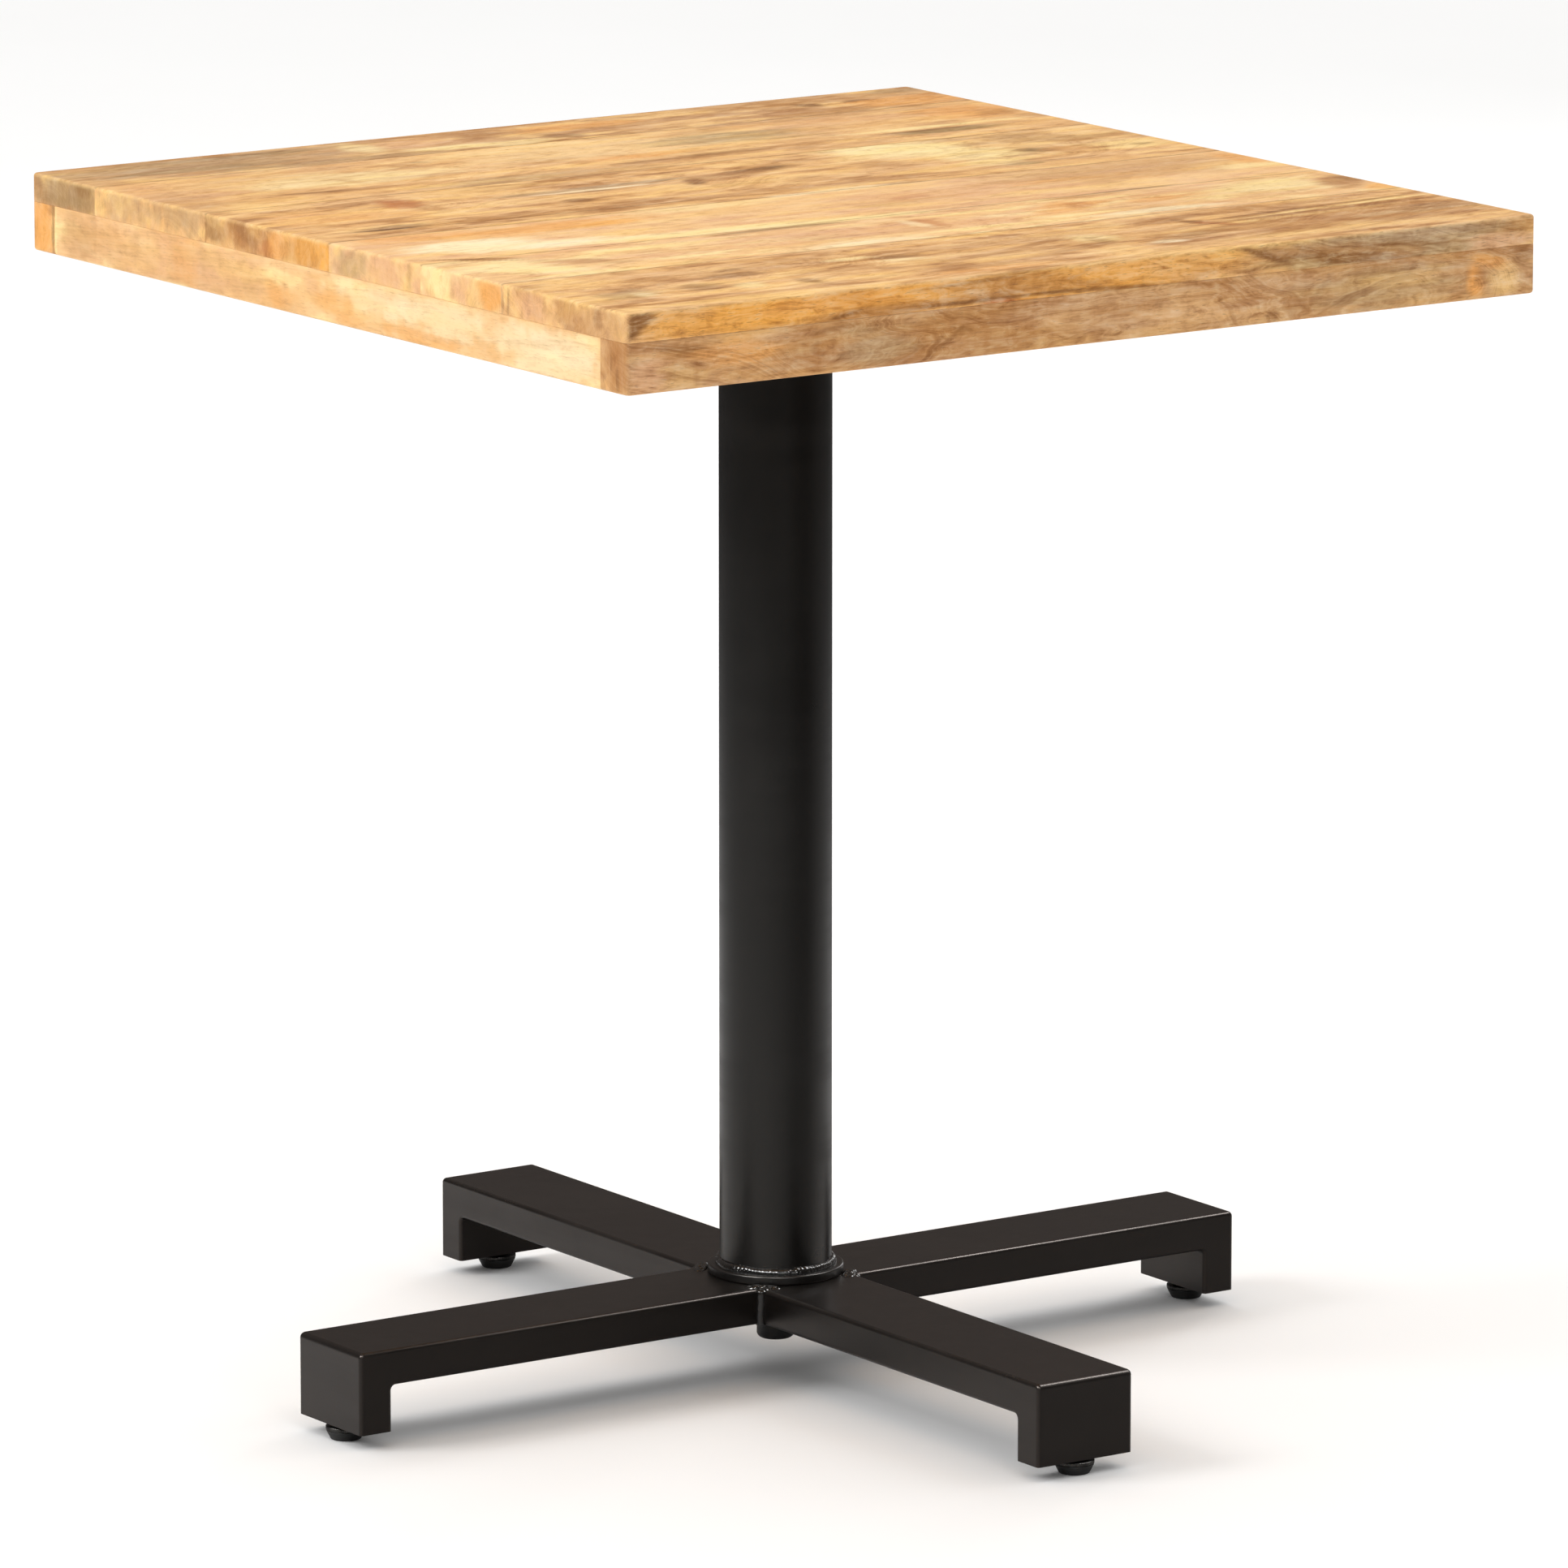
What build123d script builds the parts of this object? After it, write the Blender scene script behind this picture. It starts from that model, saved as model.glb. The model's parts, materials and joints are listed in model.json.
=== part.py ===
from build123d import *

import os

# A square bistro table: a boarded wood top on a round steel column, which stands on a
# cross of rectangular tube with a levelling foot under each end.
#
# Millimetres, +Z up. The origin is on the floor, under the column's axis. The boards run
# along X. The front of the table faces -Y, and its left side faces -X.

# Overall size
TABLE_HEIGHT = 750.0
TOP_SIDE = 672.0

# Wood top: boards glued edge to edge, with a strip glued under each edge to thicken it
BOARD_THICKNESS = 18.0
BOARD_WIDTHS = (76.0, 130.0, 142.0, 102.0, 88.0, 134.0)  # from the back to the front
STRIP_HEIGHT = 31.0
STRIP_WIDTH = 28.0
TOP_CORNER_RADIUS = 4.0
TOP_EDGE_RADIUS = 2.0

# Mounting plate, screwed to the boards from below
PLATE_SIDE = 280.0
PLATE_THICKNESS = 4.0
PLATE_CORNER_RADIUS = 12.0
SCREW_OFFSET = 122.0
SCREW_RADIUS = 2.5
SCREW_LENGTH = 16.0
SCREW_HEAD_RADIUS = 4.75
SCREW_HEAD_HEIGHT = 3.0
SCREW_HEAD_EDGE = 1.5

# Column and its foot
COLUMN_RADIUS = 35.5
COLUMN_WALL = 2.0
COLLAR_RADIUS = 43.0
COLLAR_THICKNESS = 6.0
COLLAR_EDGE_RADIUS = 1.5
WELD_LEG = 4.0
PLUG_HEIGHT = 18.0

# Cross base: rectangular tube, mitred at the ends into short legs
TUBE_WIDTH = 71.0
TUBE_HEIGHT = 23.0
TUBE_WALL = 2.0
TUBE_CORNER_RADIUS = 2.5
TUBE_BEND_RADIUS = 3.5
BASE_REACH = 334.0
BASE_TOP = 62.0
LEG_BOTTOM = 10.0
CORNER_WELD_RADIUS = 3.0
CORNER_WELD_PROUD = 0.8

# M12 stud that clamps the column to the cross
STUD_RADIUS = 6.0
STUD_CLEARANCE = 0.5
STUD_THREAD_IN_PLUG = 16.0
STUD_END_BELOW_NUT = 3.0
WASHER_RADIUS = 14.0
WASHER_THICKNESS = 2.0
NUT_ACROSS_FLATS = 18.0
NUT_HEIGHT = 10.0
CAP_RADIUS = 12.0
CAP_WALL = 1.4
CAP_HEIGHT = 18.0
CAP_EDGE_RADIUS = 3.5

# Levelling feet: an M8 screw with a round thumb flange, held captive in a plastic pad
FOOT_PLATE_THICKNESS = 3.0
FOOT_HOLE_RADIUS = 4.5
FOOT_NUT_ACROSS_FLATS = 13.0
FOOT_NUT_HEIGHT = 7.0
FOOT_SCREW_RADIUS = 4.0
FOOT_SCREW_TOP = 32.0
FIT_CLEARANCE = 0.05
FLANGE_RADIUS = 12.5
FLANGE_BOTTOM = 6.1
FLANGE_TOP = 8.5
FLANGE_EDGE = 0.4
NECK_RADIUS = 3.5
BUTTON_RADIUS = 5.5
BUTTON_BOTTOM = 2.6
BUTTON_TOP = 4.6
PAD_FLOOR_RADIUS = 9.5
PAD_FLOOR_EDGE = 1.0
PAD_TOP_RADIUS = 12.2
PAD_RIM_BOTTOM = 5.2
PAD_TOP = 6.0

# Heights and places that follow from the sizes above
BOARD_BOTTOM = TABLE_HEIGHT - BOARD_THICKNESS
STRIP_BOTTOM = BOARD_BOTTOM - STRIP_HEIGHT
PLATE_BOTTOM = BOARD_BOTTOM - PLATE_THICKNESS
COLLAR_TOP = BASE_TOP + COLLAR_THICKNESS
BEAM_BOTTOM = BASE_TOP - TUBE_HEIGHT
WASHER_BOTTOM = BEAM_BOTTOM - WASHER_THICKNESS
FOOT_PLATE_TOP = LEG_BOTTOM + FOOT_PLATE_THICKNESS
FOOT_REACH = BASE_REACH - TUBE_HEIGHT / 2
FOOT_PLACES = {
    "left": (-FOOT_REACH, 0.0),
    "right": (FOOT_REACH, 0.0),
    "front": (0.0, -FOOT_REACH),
    "back": (0.0, FOOT_REACH),
}
ON_BASE = (Align.CENTER, Align.CENTER, Align.MIN)


def block(length, width, bottom, top):
    """A box centred on the Z axis, between two heights."""
    return Pos(0, 0, bottom) * Box(length, width, top - bottom, align=ON_BASE)


def rod(radius, bottom, top):
    """A cylinder on the Z axis, between two heights."""
    return Pos(0, 0, bottom) * Cylinder(radius, top - bottom, align=ON_BASE)


def hex_nut(across_flats, bottom, top, hole_radius):
    """A hexagonal nut on the Z axis, its thread taken as a plain hole."""
    outline = RegularPolygon(across_flats / 2, 6, major_radius=False)
    return Pos(0, 0, bottom) * extrude(outline, top - bottom) - rod(hole_radius, bottom, top)


def at_places(shape, places):
    """The same shape repeated at each place, as one group of separate solids."""
    return Compound([Pos(x, y, 0) * shape for x, y in places])


# --- Wood top ---------------------------------------------------------------------------


def screw_places():
    """The eight places of a square ring of screws: its corners and the middles of its sides."""
    steps = (-SCREW_OFFSET, 0.0, SCREW_OFFSET)
    return [(x, y) for x in steps for y in steps if (x, y) != (0.0, 0.0)]


def top_boards():
    """The six boards, cut from one slab so that their rounded edges run on across the seams."""
    slab = block(TOP_SIDE, TOP_SIDE, BOARD_BOTTOM, TABLE_HEIGHT)
    slab = fillet(slab.edges().filter_by(Axis.Z), TOP_CORNER_RADIUS)
    slab = fillet(slab.faces().sort_by(Axis.Z)[-1].edges(), TOP_EDGE_RADIUS)
    pilot_hole = rod(SCREW_RADIUS, BOARD_BOTTOM, PLATE_BOTTOM + SCREW_LENGTH)
    for x, y in screw_places():
        slab -= Pos(x, y, 0) * pilot_hole
    boards = {}
    back_edge = TOP_SIDE / 2
    for number, width in enumerate(BOARD_WIDTHS, start=1):
        slot = block(TOP_SIDE, width, BOARD_BOTTOM, TABLE_HEIGHT)
        boards[f"top_board_{number}"] = slab & Pos(0, back_edge - width / 2, 0) * slot
        back_edge -= width
    return boards


def edge_strips():
    """The four strips: front and back at full length, left and right fitted between them."""
    inside = TOP_SIDE - 2 * STRIP_WIDTH
    frame = block(TOP_SIDE, TOP_SIDE, STRIP_BOTTOM, BOARD_BOTTOM)
    frame = fillet(frame.edges().filter_by(Axis.Z), TOP_CORNER_RADIUS)
    frame = fillet(frame.faces().sort_by(Axis.Z)[0].edges(), TOP_EDGE_RADIUS)
    frame -= block(inside, inside, STRIP_BOTTOM, BOARD_BOTTOM)
    middle = (TOP_SIDE - STRIP_WIDTH) / 2
    long_slot = block(TOP_SIDE, STRIP_WIDTH, STRIP_BOTTOM, BOARD_BOTTOM)
    short_slot = block(STRIP_WIDTH, inside, STRIP_BOTTOM, BOARD_BOTTOM)
    return {
        "edge_strip_front": frame & Pos(0, -middle, 0) * long_slot,
        "edge_strip_back": frame & Pos(0, middle, 0) * long_slot,
        "edge_strip_left": frame & Pos(-middle, 0, 0) * short_slot,
        "edge_strip_right": frame & Pos(middle, 0, 0) * short_slot,
    }


def mounting_plate():
    """The square steel plate on top of the column, with a hole for each screw."""
    plate = block(PLATE_SIDE, PLATE_SIDE, PLATE_BOTTOM, BOARD_BOTTOM)
    plate = fillet(plate.edges().filter_by(Axis.Z), PLATE_CORNER_RADIUS)
    for x, y in screw_places():
        plate -= Pos(x, y, 0) * rod(SCREW_RADIUS, PLATE_BOTTOM, BOARD_BOTTOM)
    return plate


def plate_screws():
    """The wood screws, heads down, each in its plate hole and pilot hole."""
    head = rod(SCREW_HEAD_RADIUS, PLATE_BOTTOM - SCREW_HEAD_HEIGHT, PLATE_BOTTOM)
    head = fillet(head.edges().sort_by(Axis.Z)[0], SCREW_HEAD_EDGE)
    shank = rod(SCREW_RADIUS, PLATE_BOTTOM, PLATE_BOTTOM + SCREW_LENGTH)
    return at_places(head + shank, screw_places())


# --- Column -----------------------------------------------------------------------------


def column_tube():
    """The round tube between the collar and the mounting plate."""
    outside = rod(COLUMN_RADIUS, COLLAR_TOP, PLATE_BOTTOM)
    return outside - rod(COLUMN_RADIUS - COLUMN_WALL, COLLAR_TOP, PLATE_BOTTOM)


def ring_weld(seat, away):
    """A weld bead round the column, on a flat face at height seat, rising towards away."""
    tip = seat + away * WELD_LEG
    bulge = WELD_LEG * 0.62
    edges = Line((COLUMN_RADIUS, seat), (COLUMN_RADIUS + WELD_LEG, seat))
    crown = ThreePointArc(
        (COLUMN_RADIUS + WELD_LEG, seat),
        (COLUMN_RADIUS + bulge, seat + away * bulge),
        (COLUMN_RADIUS, tip),
    )
    back = Line((COLUMN_RADIUS, tip), (COLUMN_RADIUS, seat))
    profile = make_face([edges, crown, back])
    return revolve(Plane.XZ * profile, Axis.Z)


def column_collar():
    """The round flange welded under the column, with a hole for the stud."""
    collar = rod(COLLAR_RADIUS, BASE_TOP, COLLAR_TOP)
    collar = fillet(collar.edges().sort_by(Axis.Z)[-1], COLLAR_EDGE_RADIUS)
    return collar - rod(STUD_RADIUS + STUD_CLEARANCE, BASE_TOP, COLLAR_TOP)


def column_plug():
    """The thick disc inside the column's foot that takes the stud's thread."""
    plug = rod(COLUMN_RADIUS - COLUMN_WALL, COLLAR_TOP, COLLAR_TOP + PLUG_HEIGHT)
    return plug - rod(STUD_RADIUS, COLLAR_TOP, COLLAR_TOP + PLUG_HEIGHT)


def column_fixing():
    """The stud from the plug down through the cross, and its washer, nut and cap."""
    nut_bottom = WASHER_BOTTOM - NUT_HEIGHT
    cap_bottom = WASHER_BOTTOM - CAP_HEIGHT
    washer = rod(WASHER_RADIUS, WASHER_BOTTOM, BEAM_BOTTOM)
    cap = rod(CAP_RADIUS, cap_bottom, WASHER_BOTTOM)
    cap = fillet(cap.edges().sort_by(Axis.Z)[0], CAP_EDGE_RADIUS)
    room = rod(CAP_RADIUS - CAP_WALL, cap_bottom + CAP_EDGE_RADIUS, WASHER_BOTTOM)
    return {
        "column_stud": rod(
            STUD_RADIUS, nut_bottom - STUD_END_BELOW_NUT, COLLAR_TOP + STUD_THREAD_IN_PLUG
        ),
        "stud_washer": washer - rod(STUD_RADIUS, WASHER_BOTTOM, BEAM_BOTTOM),
        "stud_nut": hex_nut(NUT_ACROSS_FLATS, nut_bottom, WASHER_BOTTOM, STUD_RADIUS),
        "stud_nut_cap": cap - room,
    }


# --- Cross base -------------------------------------------------------------------------


def arch(inset, bottom, corner_radius):
    """A solid bar along X, turned down at both ends, drawn in by inset on every side."""
    reach = BASE_REACH - inset
    top = BASE_TOP - inset
    depth = TUBE_HEIGHT - 2 * inset
    outline = Polyline(
        (-reach, bottom),
        (-reach, top),
        (reach, top),
        (reach, bottom),
        (reach - depth, bottom),
        (reach - depth, top - depth),
        (depth - reach, top - depth),
        (depth - reach, bottom),
        close=True,
    )
    profile = make_face(outline)
    levels = profile.vertices().group_by(Axis.Y)
    profile = fillet(levels[-1] + levels[-2], TUBE_BEND_RADIUS - inset / 2)
    bar = extrude(Plane.XZ * profile, TUBE_WIDTH / 2 - inset, both=True)
    flanks = bar.faces().filter_by(Axis.Y).edges()
    rounded = flanks.filter_by(lambda edge: edge.bounding_box().max.Z > bottom + TUBE_HEIGHT / 2)
    return fillet(rounded, corner_radius)


def hollow_arch():
    """The same bar as a tube, open at the feet of its legs."""
    below = LEG_BOTTOM - TUBE_WALL
    return arch(0.0, LEG_BOTTOM, TUBE_CORNER_RADIUS) - arch(
        TUBE_WALL, below, TUBE_CORNER_RADIUS / 2
    )


def mitred(tube):
    """Cuts a tube at its two mitres: the left leg, the beam and the right leg."""
    right_cut = Plane(origin=(BASE_REACH, 0, BASE_TOP), z_dir=(1, 0, -1))
    left_cut = Plane(origin=(-BASE_REACH, 0, BASE_TOP), z_dir=(-1, 0, -1))
    right_leg = split(tube, right_cut, keep=Keep.TOP)
    left_leg = split(tube, left_cut, keep=Keep.TOP)
    beam = split(split(tube, right_cut, keep=Keep.BOTTOM), left_cut, keep=Keep.BOTTOM)
    return left_leg, beam, right_leg


def cross_base():
    """One long beam from left to right, two short beams butted to its sides, and four legs."""
    tube = hollow_arch()
    left_leg, long_beam, right_leg = mitred(tube)
    long_beam -= rod(STUD_RADIUS + STUD_CLEARANCE, BEAM_BOTTOM, BASE_TOP)
    front_leg, crossing, back_leg = (Rot(0, 0, 90) * piece for piece in mitred(tube))
    half_reach = block(TUBE_WIDTH, BASE_REACH - TUBE_WIDTH / 2, BEAM_BOTTOM, BASE_TOP)
    middle = (BASE_REACH + TUBE_WIDTH / 2) / 2
    return {
        "long_beam": long_beam,
        "short_beam_front": crossing & Pos(0, -middle, 0) * half_reach,
        "short_beam_back": crossing & Pos(0, middle, 0) * half_reach,
        "leg_left": left_leg,
        "leg_right": right_leg,
        "leg_front": front_leg,
        "leg_back": back_leg,
    }


def cross_welds():
    """A weld bead down each inner corner of the cross."""
    bar = arch(0.0, LEG_BOTTOM, TUBE_CORNER_RADIUS)
    half = TUBE_WIDTH / 2
    top = BASE_TOP + CORNER_WELD_PROUD
    corners = [(x, y) for x in (-half, half) for y in (-half, half)]
    beads = []
    for x, y in corners:
        bead = Pos(x, y, 0) * rod(CORNER_WELD_RADIUS, BEAM_BOTTOM, top)
        beads.append(bead - bar - Rot(0, 0, 90) * bar)
    return Compound(beads)


# --- Levelling feet ---------------------------------------------------------------------


def foot_plate():
    """The plate that closes the foot of the left leg, with a clearance hole for the screw."""
    blank = block(TUBE_HEIGHT, TUBE_WIDTH, LEG_BOTTOM, FOOT_PLATE_TOP)
    cavity = arch(TUBE_WALL, LEG_BOTTOM - TUBE_WALL, TUBE_CORNER_RADIUS / 2)
    plate = Pos(FOOT_REACH, 0, 0) * cavity & blank
    return plate - rod(FOOT_HOLE_RADIUS, LEG_BOTTOM, FOOT_PLATE_TOP)


def foot_nut():
    """The weld nut on the foot plate, inside the leg."""
    top = FOOT_PLATE_TOP + FOOT_NUT_HEIGHT
    bore = FOOT_SCREW_RADIUS + FIT_CLEARANCE
    return hex_nut(FOOT_NUT_ACROSS_FLATS, FOOT_PLATE_TOP, top, bore)


def foot_screw():
    """The levelling screw: shank, thumb flange, neck and the button that the pad holds."""
    flange = rod(FLANGE_RADIUS, FLANGE_BOTTOM, FLANGE_TOP)
    flange = chamfer(flange.edges(), FLANGE_EDGE)
    shank = rod(FOOT_SCREW_RADIUS, FLANGE_TOP, FOOT_SCREW_TOP)
    neck = rod(NECK_RADIUS, BUTTON_TOP, FLANGE_BOTTOM)
    button = rod(BUTTON_RADIUS, BUTTON_BOTTOM, BUTTON_TOP)
    return flange + shank + neck + button


def foot_pad():
    """The plastic pad: a cone, narrower at the floor, with a pocket for the screw's button."""
    outline = Polyline(
        (0, 0),
        (PAD_FLOOR_RADIUS, 0),
        (PAD_TOP_RADIUS, PAD_RIM_BOTTOM),
        (PAD_TOP_RADIUS, PAD_TOP),
        (0, PAD_TOP),
        close=True,
    )
    pad = revolve(Plane.XZ * make_face(outline), Axis.Z)
    pad = fillet(pad.edges().sort_by(Axis.Z)[0], PAD_FLOOR_EDGE)
    pocket_bottom = BUTTON_BOTTOM - FIT_CLEARANCE
    pocket_top = BUTTON_TOP + FIT_CLEARANCE
    pad -= rod(BUTTON_RADIUS + FIT_CLEARANCE, pocket_bottom, pocket_top)
    return pad - rod(NECK_RADIUS + FIT_CLEARANCE, pocket_top, PAD_TOP)


def levelling_feet():
    """The four feet, each under the end of its arm, with the plate and nut in its leg."""
    turned = {"left": 0, "right": 0, "front": 90, "back": 90}
    feet = {}
    for side, (x, y) in FOOT_PLACES.items():
        feet[f"foot_plate_{side}"] = Pos(x, y, 0) * Rot(0, 0, turned[side]) * foot_plate()
        feet[f"foot_screw_{side}"] = Pos(x, y, 0) * foot_screw()
        feet[f"foot_pad_{side}"] = Pos(x, y, 0) * foot_pad()
    feet["foot_nuts"] = at_places(foot_nut(), FOOT_PLACES.values())
    return feet


# --- The whole table --------------------------------------------------------------------


def table():
    """Every piece of the table, by name."""
    return {
        **top_boards(),
        **edge_strips(),
        "mounting_plate": mounting_plate(),
        "plate_screws": plate_screws(),
        "column_tube": column_tube(),
        "column_top_weld": ring_weld(PLATE_BOTTOM, -1),
        "column_foot_weld": ring_weld(COLLAR_TOP, 1),
        "column_collar": column_collar(),
        "column_plug": column_plug(),
        **column_fixing(),
        **cross_base(),
        "cross_welds": cross_welds(),
        **levelling_feet(),
    }


os.makedirs("parts", exist_ok=True)
for name, shape in table().items():
    export_step(shape, f"parts/{name}.step")
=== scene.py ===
import itertools
import json
import math

import bpy
import numpy as np
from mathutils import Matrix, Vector

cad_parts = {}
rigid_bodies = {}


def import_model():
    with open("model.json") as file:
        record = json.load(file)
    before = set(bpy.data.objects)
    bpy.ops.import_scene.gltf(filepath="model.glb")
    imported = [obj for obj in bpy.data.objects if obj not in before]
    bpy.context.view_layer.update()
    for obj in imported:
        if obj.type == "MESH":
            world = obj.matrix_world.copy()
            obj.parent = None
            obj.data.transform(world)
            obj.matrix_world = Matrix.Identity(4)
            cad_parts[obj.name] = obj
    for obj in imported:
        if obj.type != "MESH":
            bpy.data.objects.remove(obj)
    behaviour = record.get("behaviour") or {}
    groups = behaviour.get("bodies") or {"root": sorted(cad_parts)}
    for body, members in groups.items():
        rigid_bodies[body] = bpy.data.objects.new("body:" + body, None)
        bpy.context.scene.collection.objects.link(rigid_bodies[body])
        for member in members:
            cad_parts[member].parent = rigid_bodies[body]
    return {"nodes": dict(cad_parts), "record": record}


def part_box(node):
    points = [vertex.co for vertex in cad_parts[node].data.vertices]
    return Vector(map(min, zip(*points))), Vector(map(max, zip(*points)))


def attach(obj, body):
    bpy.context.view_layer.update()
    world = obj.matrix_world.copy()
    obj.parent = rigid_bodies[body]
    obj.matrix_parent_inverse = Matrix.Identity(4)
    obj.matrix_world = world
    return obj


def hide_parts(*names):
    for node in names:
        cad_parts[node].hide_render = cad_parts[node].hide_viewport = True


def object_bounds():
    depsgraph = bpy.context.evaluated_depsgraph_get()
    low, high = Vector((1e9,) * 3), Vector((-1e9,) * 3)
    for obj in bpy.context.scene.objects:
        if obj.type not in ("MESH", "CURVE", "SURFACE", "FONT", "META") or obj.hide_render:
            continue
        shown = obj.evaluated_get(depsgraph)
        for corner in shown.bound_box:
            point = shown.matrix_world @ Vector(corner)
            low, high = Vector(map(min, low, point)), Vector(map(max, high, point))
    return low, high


# Looks of a square bistro table. The frame is the CAD's, in metres: +Z up, the origin on the
# floor under the column, boards along X, front edge facing -Y.

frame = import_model()
cad_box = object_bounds()

MM = 0.001
BASE_BODY = "table"
SIDES = ("left", "right", "front", "back")


# --- Repeatable noise for shapes and layouts --------------

HASH_STEPS = (2654435761, 2246822519, 3266489917)


def scatter(cells, seed):
    """A repeatable number from -1 to 1 for each row of whole numbers."""
    mix = np.full(len(cells), (seed + 1) * 668265263 % 2**32, np.uint32)
    for axis in range(cells.shape[1]):
        mix ^= cells[:, axis].astype(np.int64).astype(np.uint32) * np.uint32(HASH_STEPS[axis])
        mix = (mix ^ (mix >> np.uint32(15))) * np.uint32(HASH_STEPS[1])
        mix ^= mix >> np.uint32(13)
    return mix / 2.0**31 - 1


def noise(points, seed):
    """Smooth noise from -1 to 1 with one cell per unit."""
    base = np.floor(points)
    part = points - base
    ease = part * part * (3 - 2 * part)
    total = np.zeros(len(points))
    for corner in itertools.product((0, 1), repeat=points.shape[1]):
        weight = np.prod(np.where(corner, ease, 1 - ease), axis=1)
        total += weight * scatter(base + np.array(corner), seed)
    return total


def fractal(points, cell, seed):
    """Noise in four octaves; cell is the size of the largest cells along each axis."""
    scaled = points / np.array(cell)
    total = np.zeros(len(points))
    share = 0.5
    for octave in range(4):
        total += share * noise(scaled + 17.3 * octave, seed + 101 * octave)
        scaled = scaled * 2
        share /= 2
    return total


def smooth(value, low, high):
    """0 below low, 1 above high, eased between; high may be under low."""
    t = np.clip((value - low) / (high - low), 0, 1)
    return t * t * (3 - 2 * t)


# --- Meshes -----------------------------------------------

CREASE_ANGLE = math.radians(38)
SLOTS = {entry["node"]: entry["material_slot"] for entry in frame["record"]["subparts"]}


def make_mesh(name, verts, faces):
    """A mesh from points and faces, smooth except at its creases."""
    mesh = bpy.data.meshes.new(name)
    sizes = np.array([len(face) for face in faces])
    mesh.vertices.add(len(verts))
    mesh.vertices.foreach_set("co", np.ravel(verts).astype(np.float32))
    mesh.loops.add(int(sizes.sum()))
    mesh.loops.foreach_set("vertex_index", np.concatenate(faces).astype(np.int32))
    mesh.polygons.add(len(sizes))
    mesh.polygons.foreach_set("loop_start", (np.cumsum(sizes) - sizes).astype(np.int32))
    mesh.polygons.foreach_set("use_smooth", np.ones(len(sizes), bool))
    mesh.update(calc_edges=True)
    mesh.set_sharp_from_angle(angle=CREASE_ANGLE)
    return mesh


def put_in_scene(name, data):
    """A new object with this mesh, light or camera."""
    obj = bpy.data.objects.new(name, data)
    bpy.context.scene.collection.objects.link(obj)
    return obj


def add_piece(name, shape, material, node, body=BASE_BODY):
    """Makes a mesh piece that rides on a body and stands for a CAD node."""
    mesh = make_mesh(name, *shape)
    mesh.materials.append(material)
    piece = put_in_scene(name, mesh)
    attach(piece, body)
    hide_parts(node)
    return piece


def all_round(count):
    """Evenly spaced angles of a full turn."""
    return np.linspace(0, 2 * math.pi, count, endpoint=False)


def circle(x, y, radii, angles, heights):
    """Points round the upright axis at (x, y); each of the rest is one number or an array."""
    row = (x + radii * np.cos(angles), y + radii * np.sin(angles), heights)
    return np.stack(np.broadcast_arrays(*row), axis=1)


def quad_faces(rows, columns, ring=False):
    """Quads between rows of points, each row closed on itself. In a ring the last row joins
    the first, and the quads face the other way."""
    faces = []
    for i in range(rows if ring else rows - 1):
        n = (i + 1) % rows
        for j in range(columns):
            k = (j + 1) % columns
            a, b = i * columns + j, i * columns + k
            c, d = n * columns + k, n * columns + j
            faces.append((a, d, c, b) if ring else (a, b, c, d))
    return faces


def capped_faces(rows, columns):
    """Quads between rows of points, and a cap on the first row and on the last."""
    faces = quad_faces(rows, columns)
    faces.append(tuple(range(columns))[::-1])
    faces.append(tuple((rows - 1) * columns + j for j in range(columns)))
    return faces


def rounded(outline, radius, steps=3):
    """An open outline with each of its inner corners cut to a small curve."""
    points = [Vector(p) for p in outline]
    result = [points[0]]
    for before, corner, after in zip(points, points[1:], points[2:]):
        reach_in = min(radius, 0.45 * (before - corner).length)
        reach_out = min(radius, 0.45 * (after - corner).length)
        start = corner + (before - corner).normalized() * reach_in
        end = corner + (after - corner).normalized() * reach_out
        for step in range(steps + 1):
            t = step / steps
            result.append(start * (1 - t) ** 2 + corner * 2 * t * (1 - t) + end * t**2)
    return result + [points[-1]]


def lathe(profile, segments, x=0.0, y=0.0, shape=None):
    """A solid turned about the upright axis at (x, y) from (radius, height) points, in
    millimetres, from one axis point round the outside to the other. shape(radius, height,
    angles) gives the radii of a row, where they vary round the axis."""
    angles = all_round(segments)
    rows = []
    for radius, height in profile[1:-1]:
        radii = shape(radius, height, angles) if shape else radius
        rows.append(circle(x, y, radii, angles, height))
    poles = np.array([(x, y, profile[0][1]), (x, y, profile[-1][1])])
    faces = quad_faces(len(rows), segments)
    first_pole = len(rows) * segments
    last_row = first_pole - segments
    for j in range(segments):
        k = (j + 1) % segments
        faces.append((first_pole, k, j))
        faces.append((first_pole + 1, last_row + j, last_row + k))
    return np.concatenate(rows + [poles]) * MM, faces


def lathe_ring(outline, segments):
    """A ring turned about the column's axis from a closed outline of (radius, height) points
    in millimetres, listed anticlockwise with the radius to the right and the height upwards."""
    radii, heights = np.array(outline).T
    rows = [circle(0, 0, radii, angle, heights) for angle in all_round(segments)]
    return np.concatenate(rows) * MM, quad_faces(segments, len(radii), ring=True)


def joined(parts):
    """Several shapes as one."""
    verts, faces, start = [], [], 0
    for points, part_faces in parts:
        verts.append(points)
        faces += [tuple(index + start for index in face) for face in part_faces]
        start += len(points)
    return np.concatenate(verts), faces


# --- Node graphs ------------------------------------------


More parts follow.
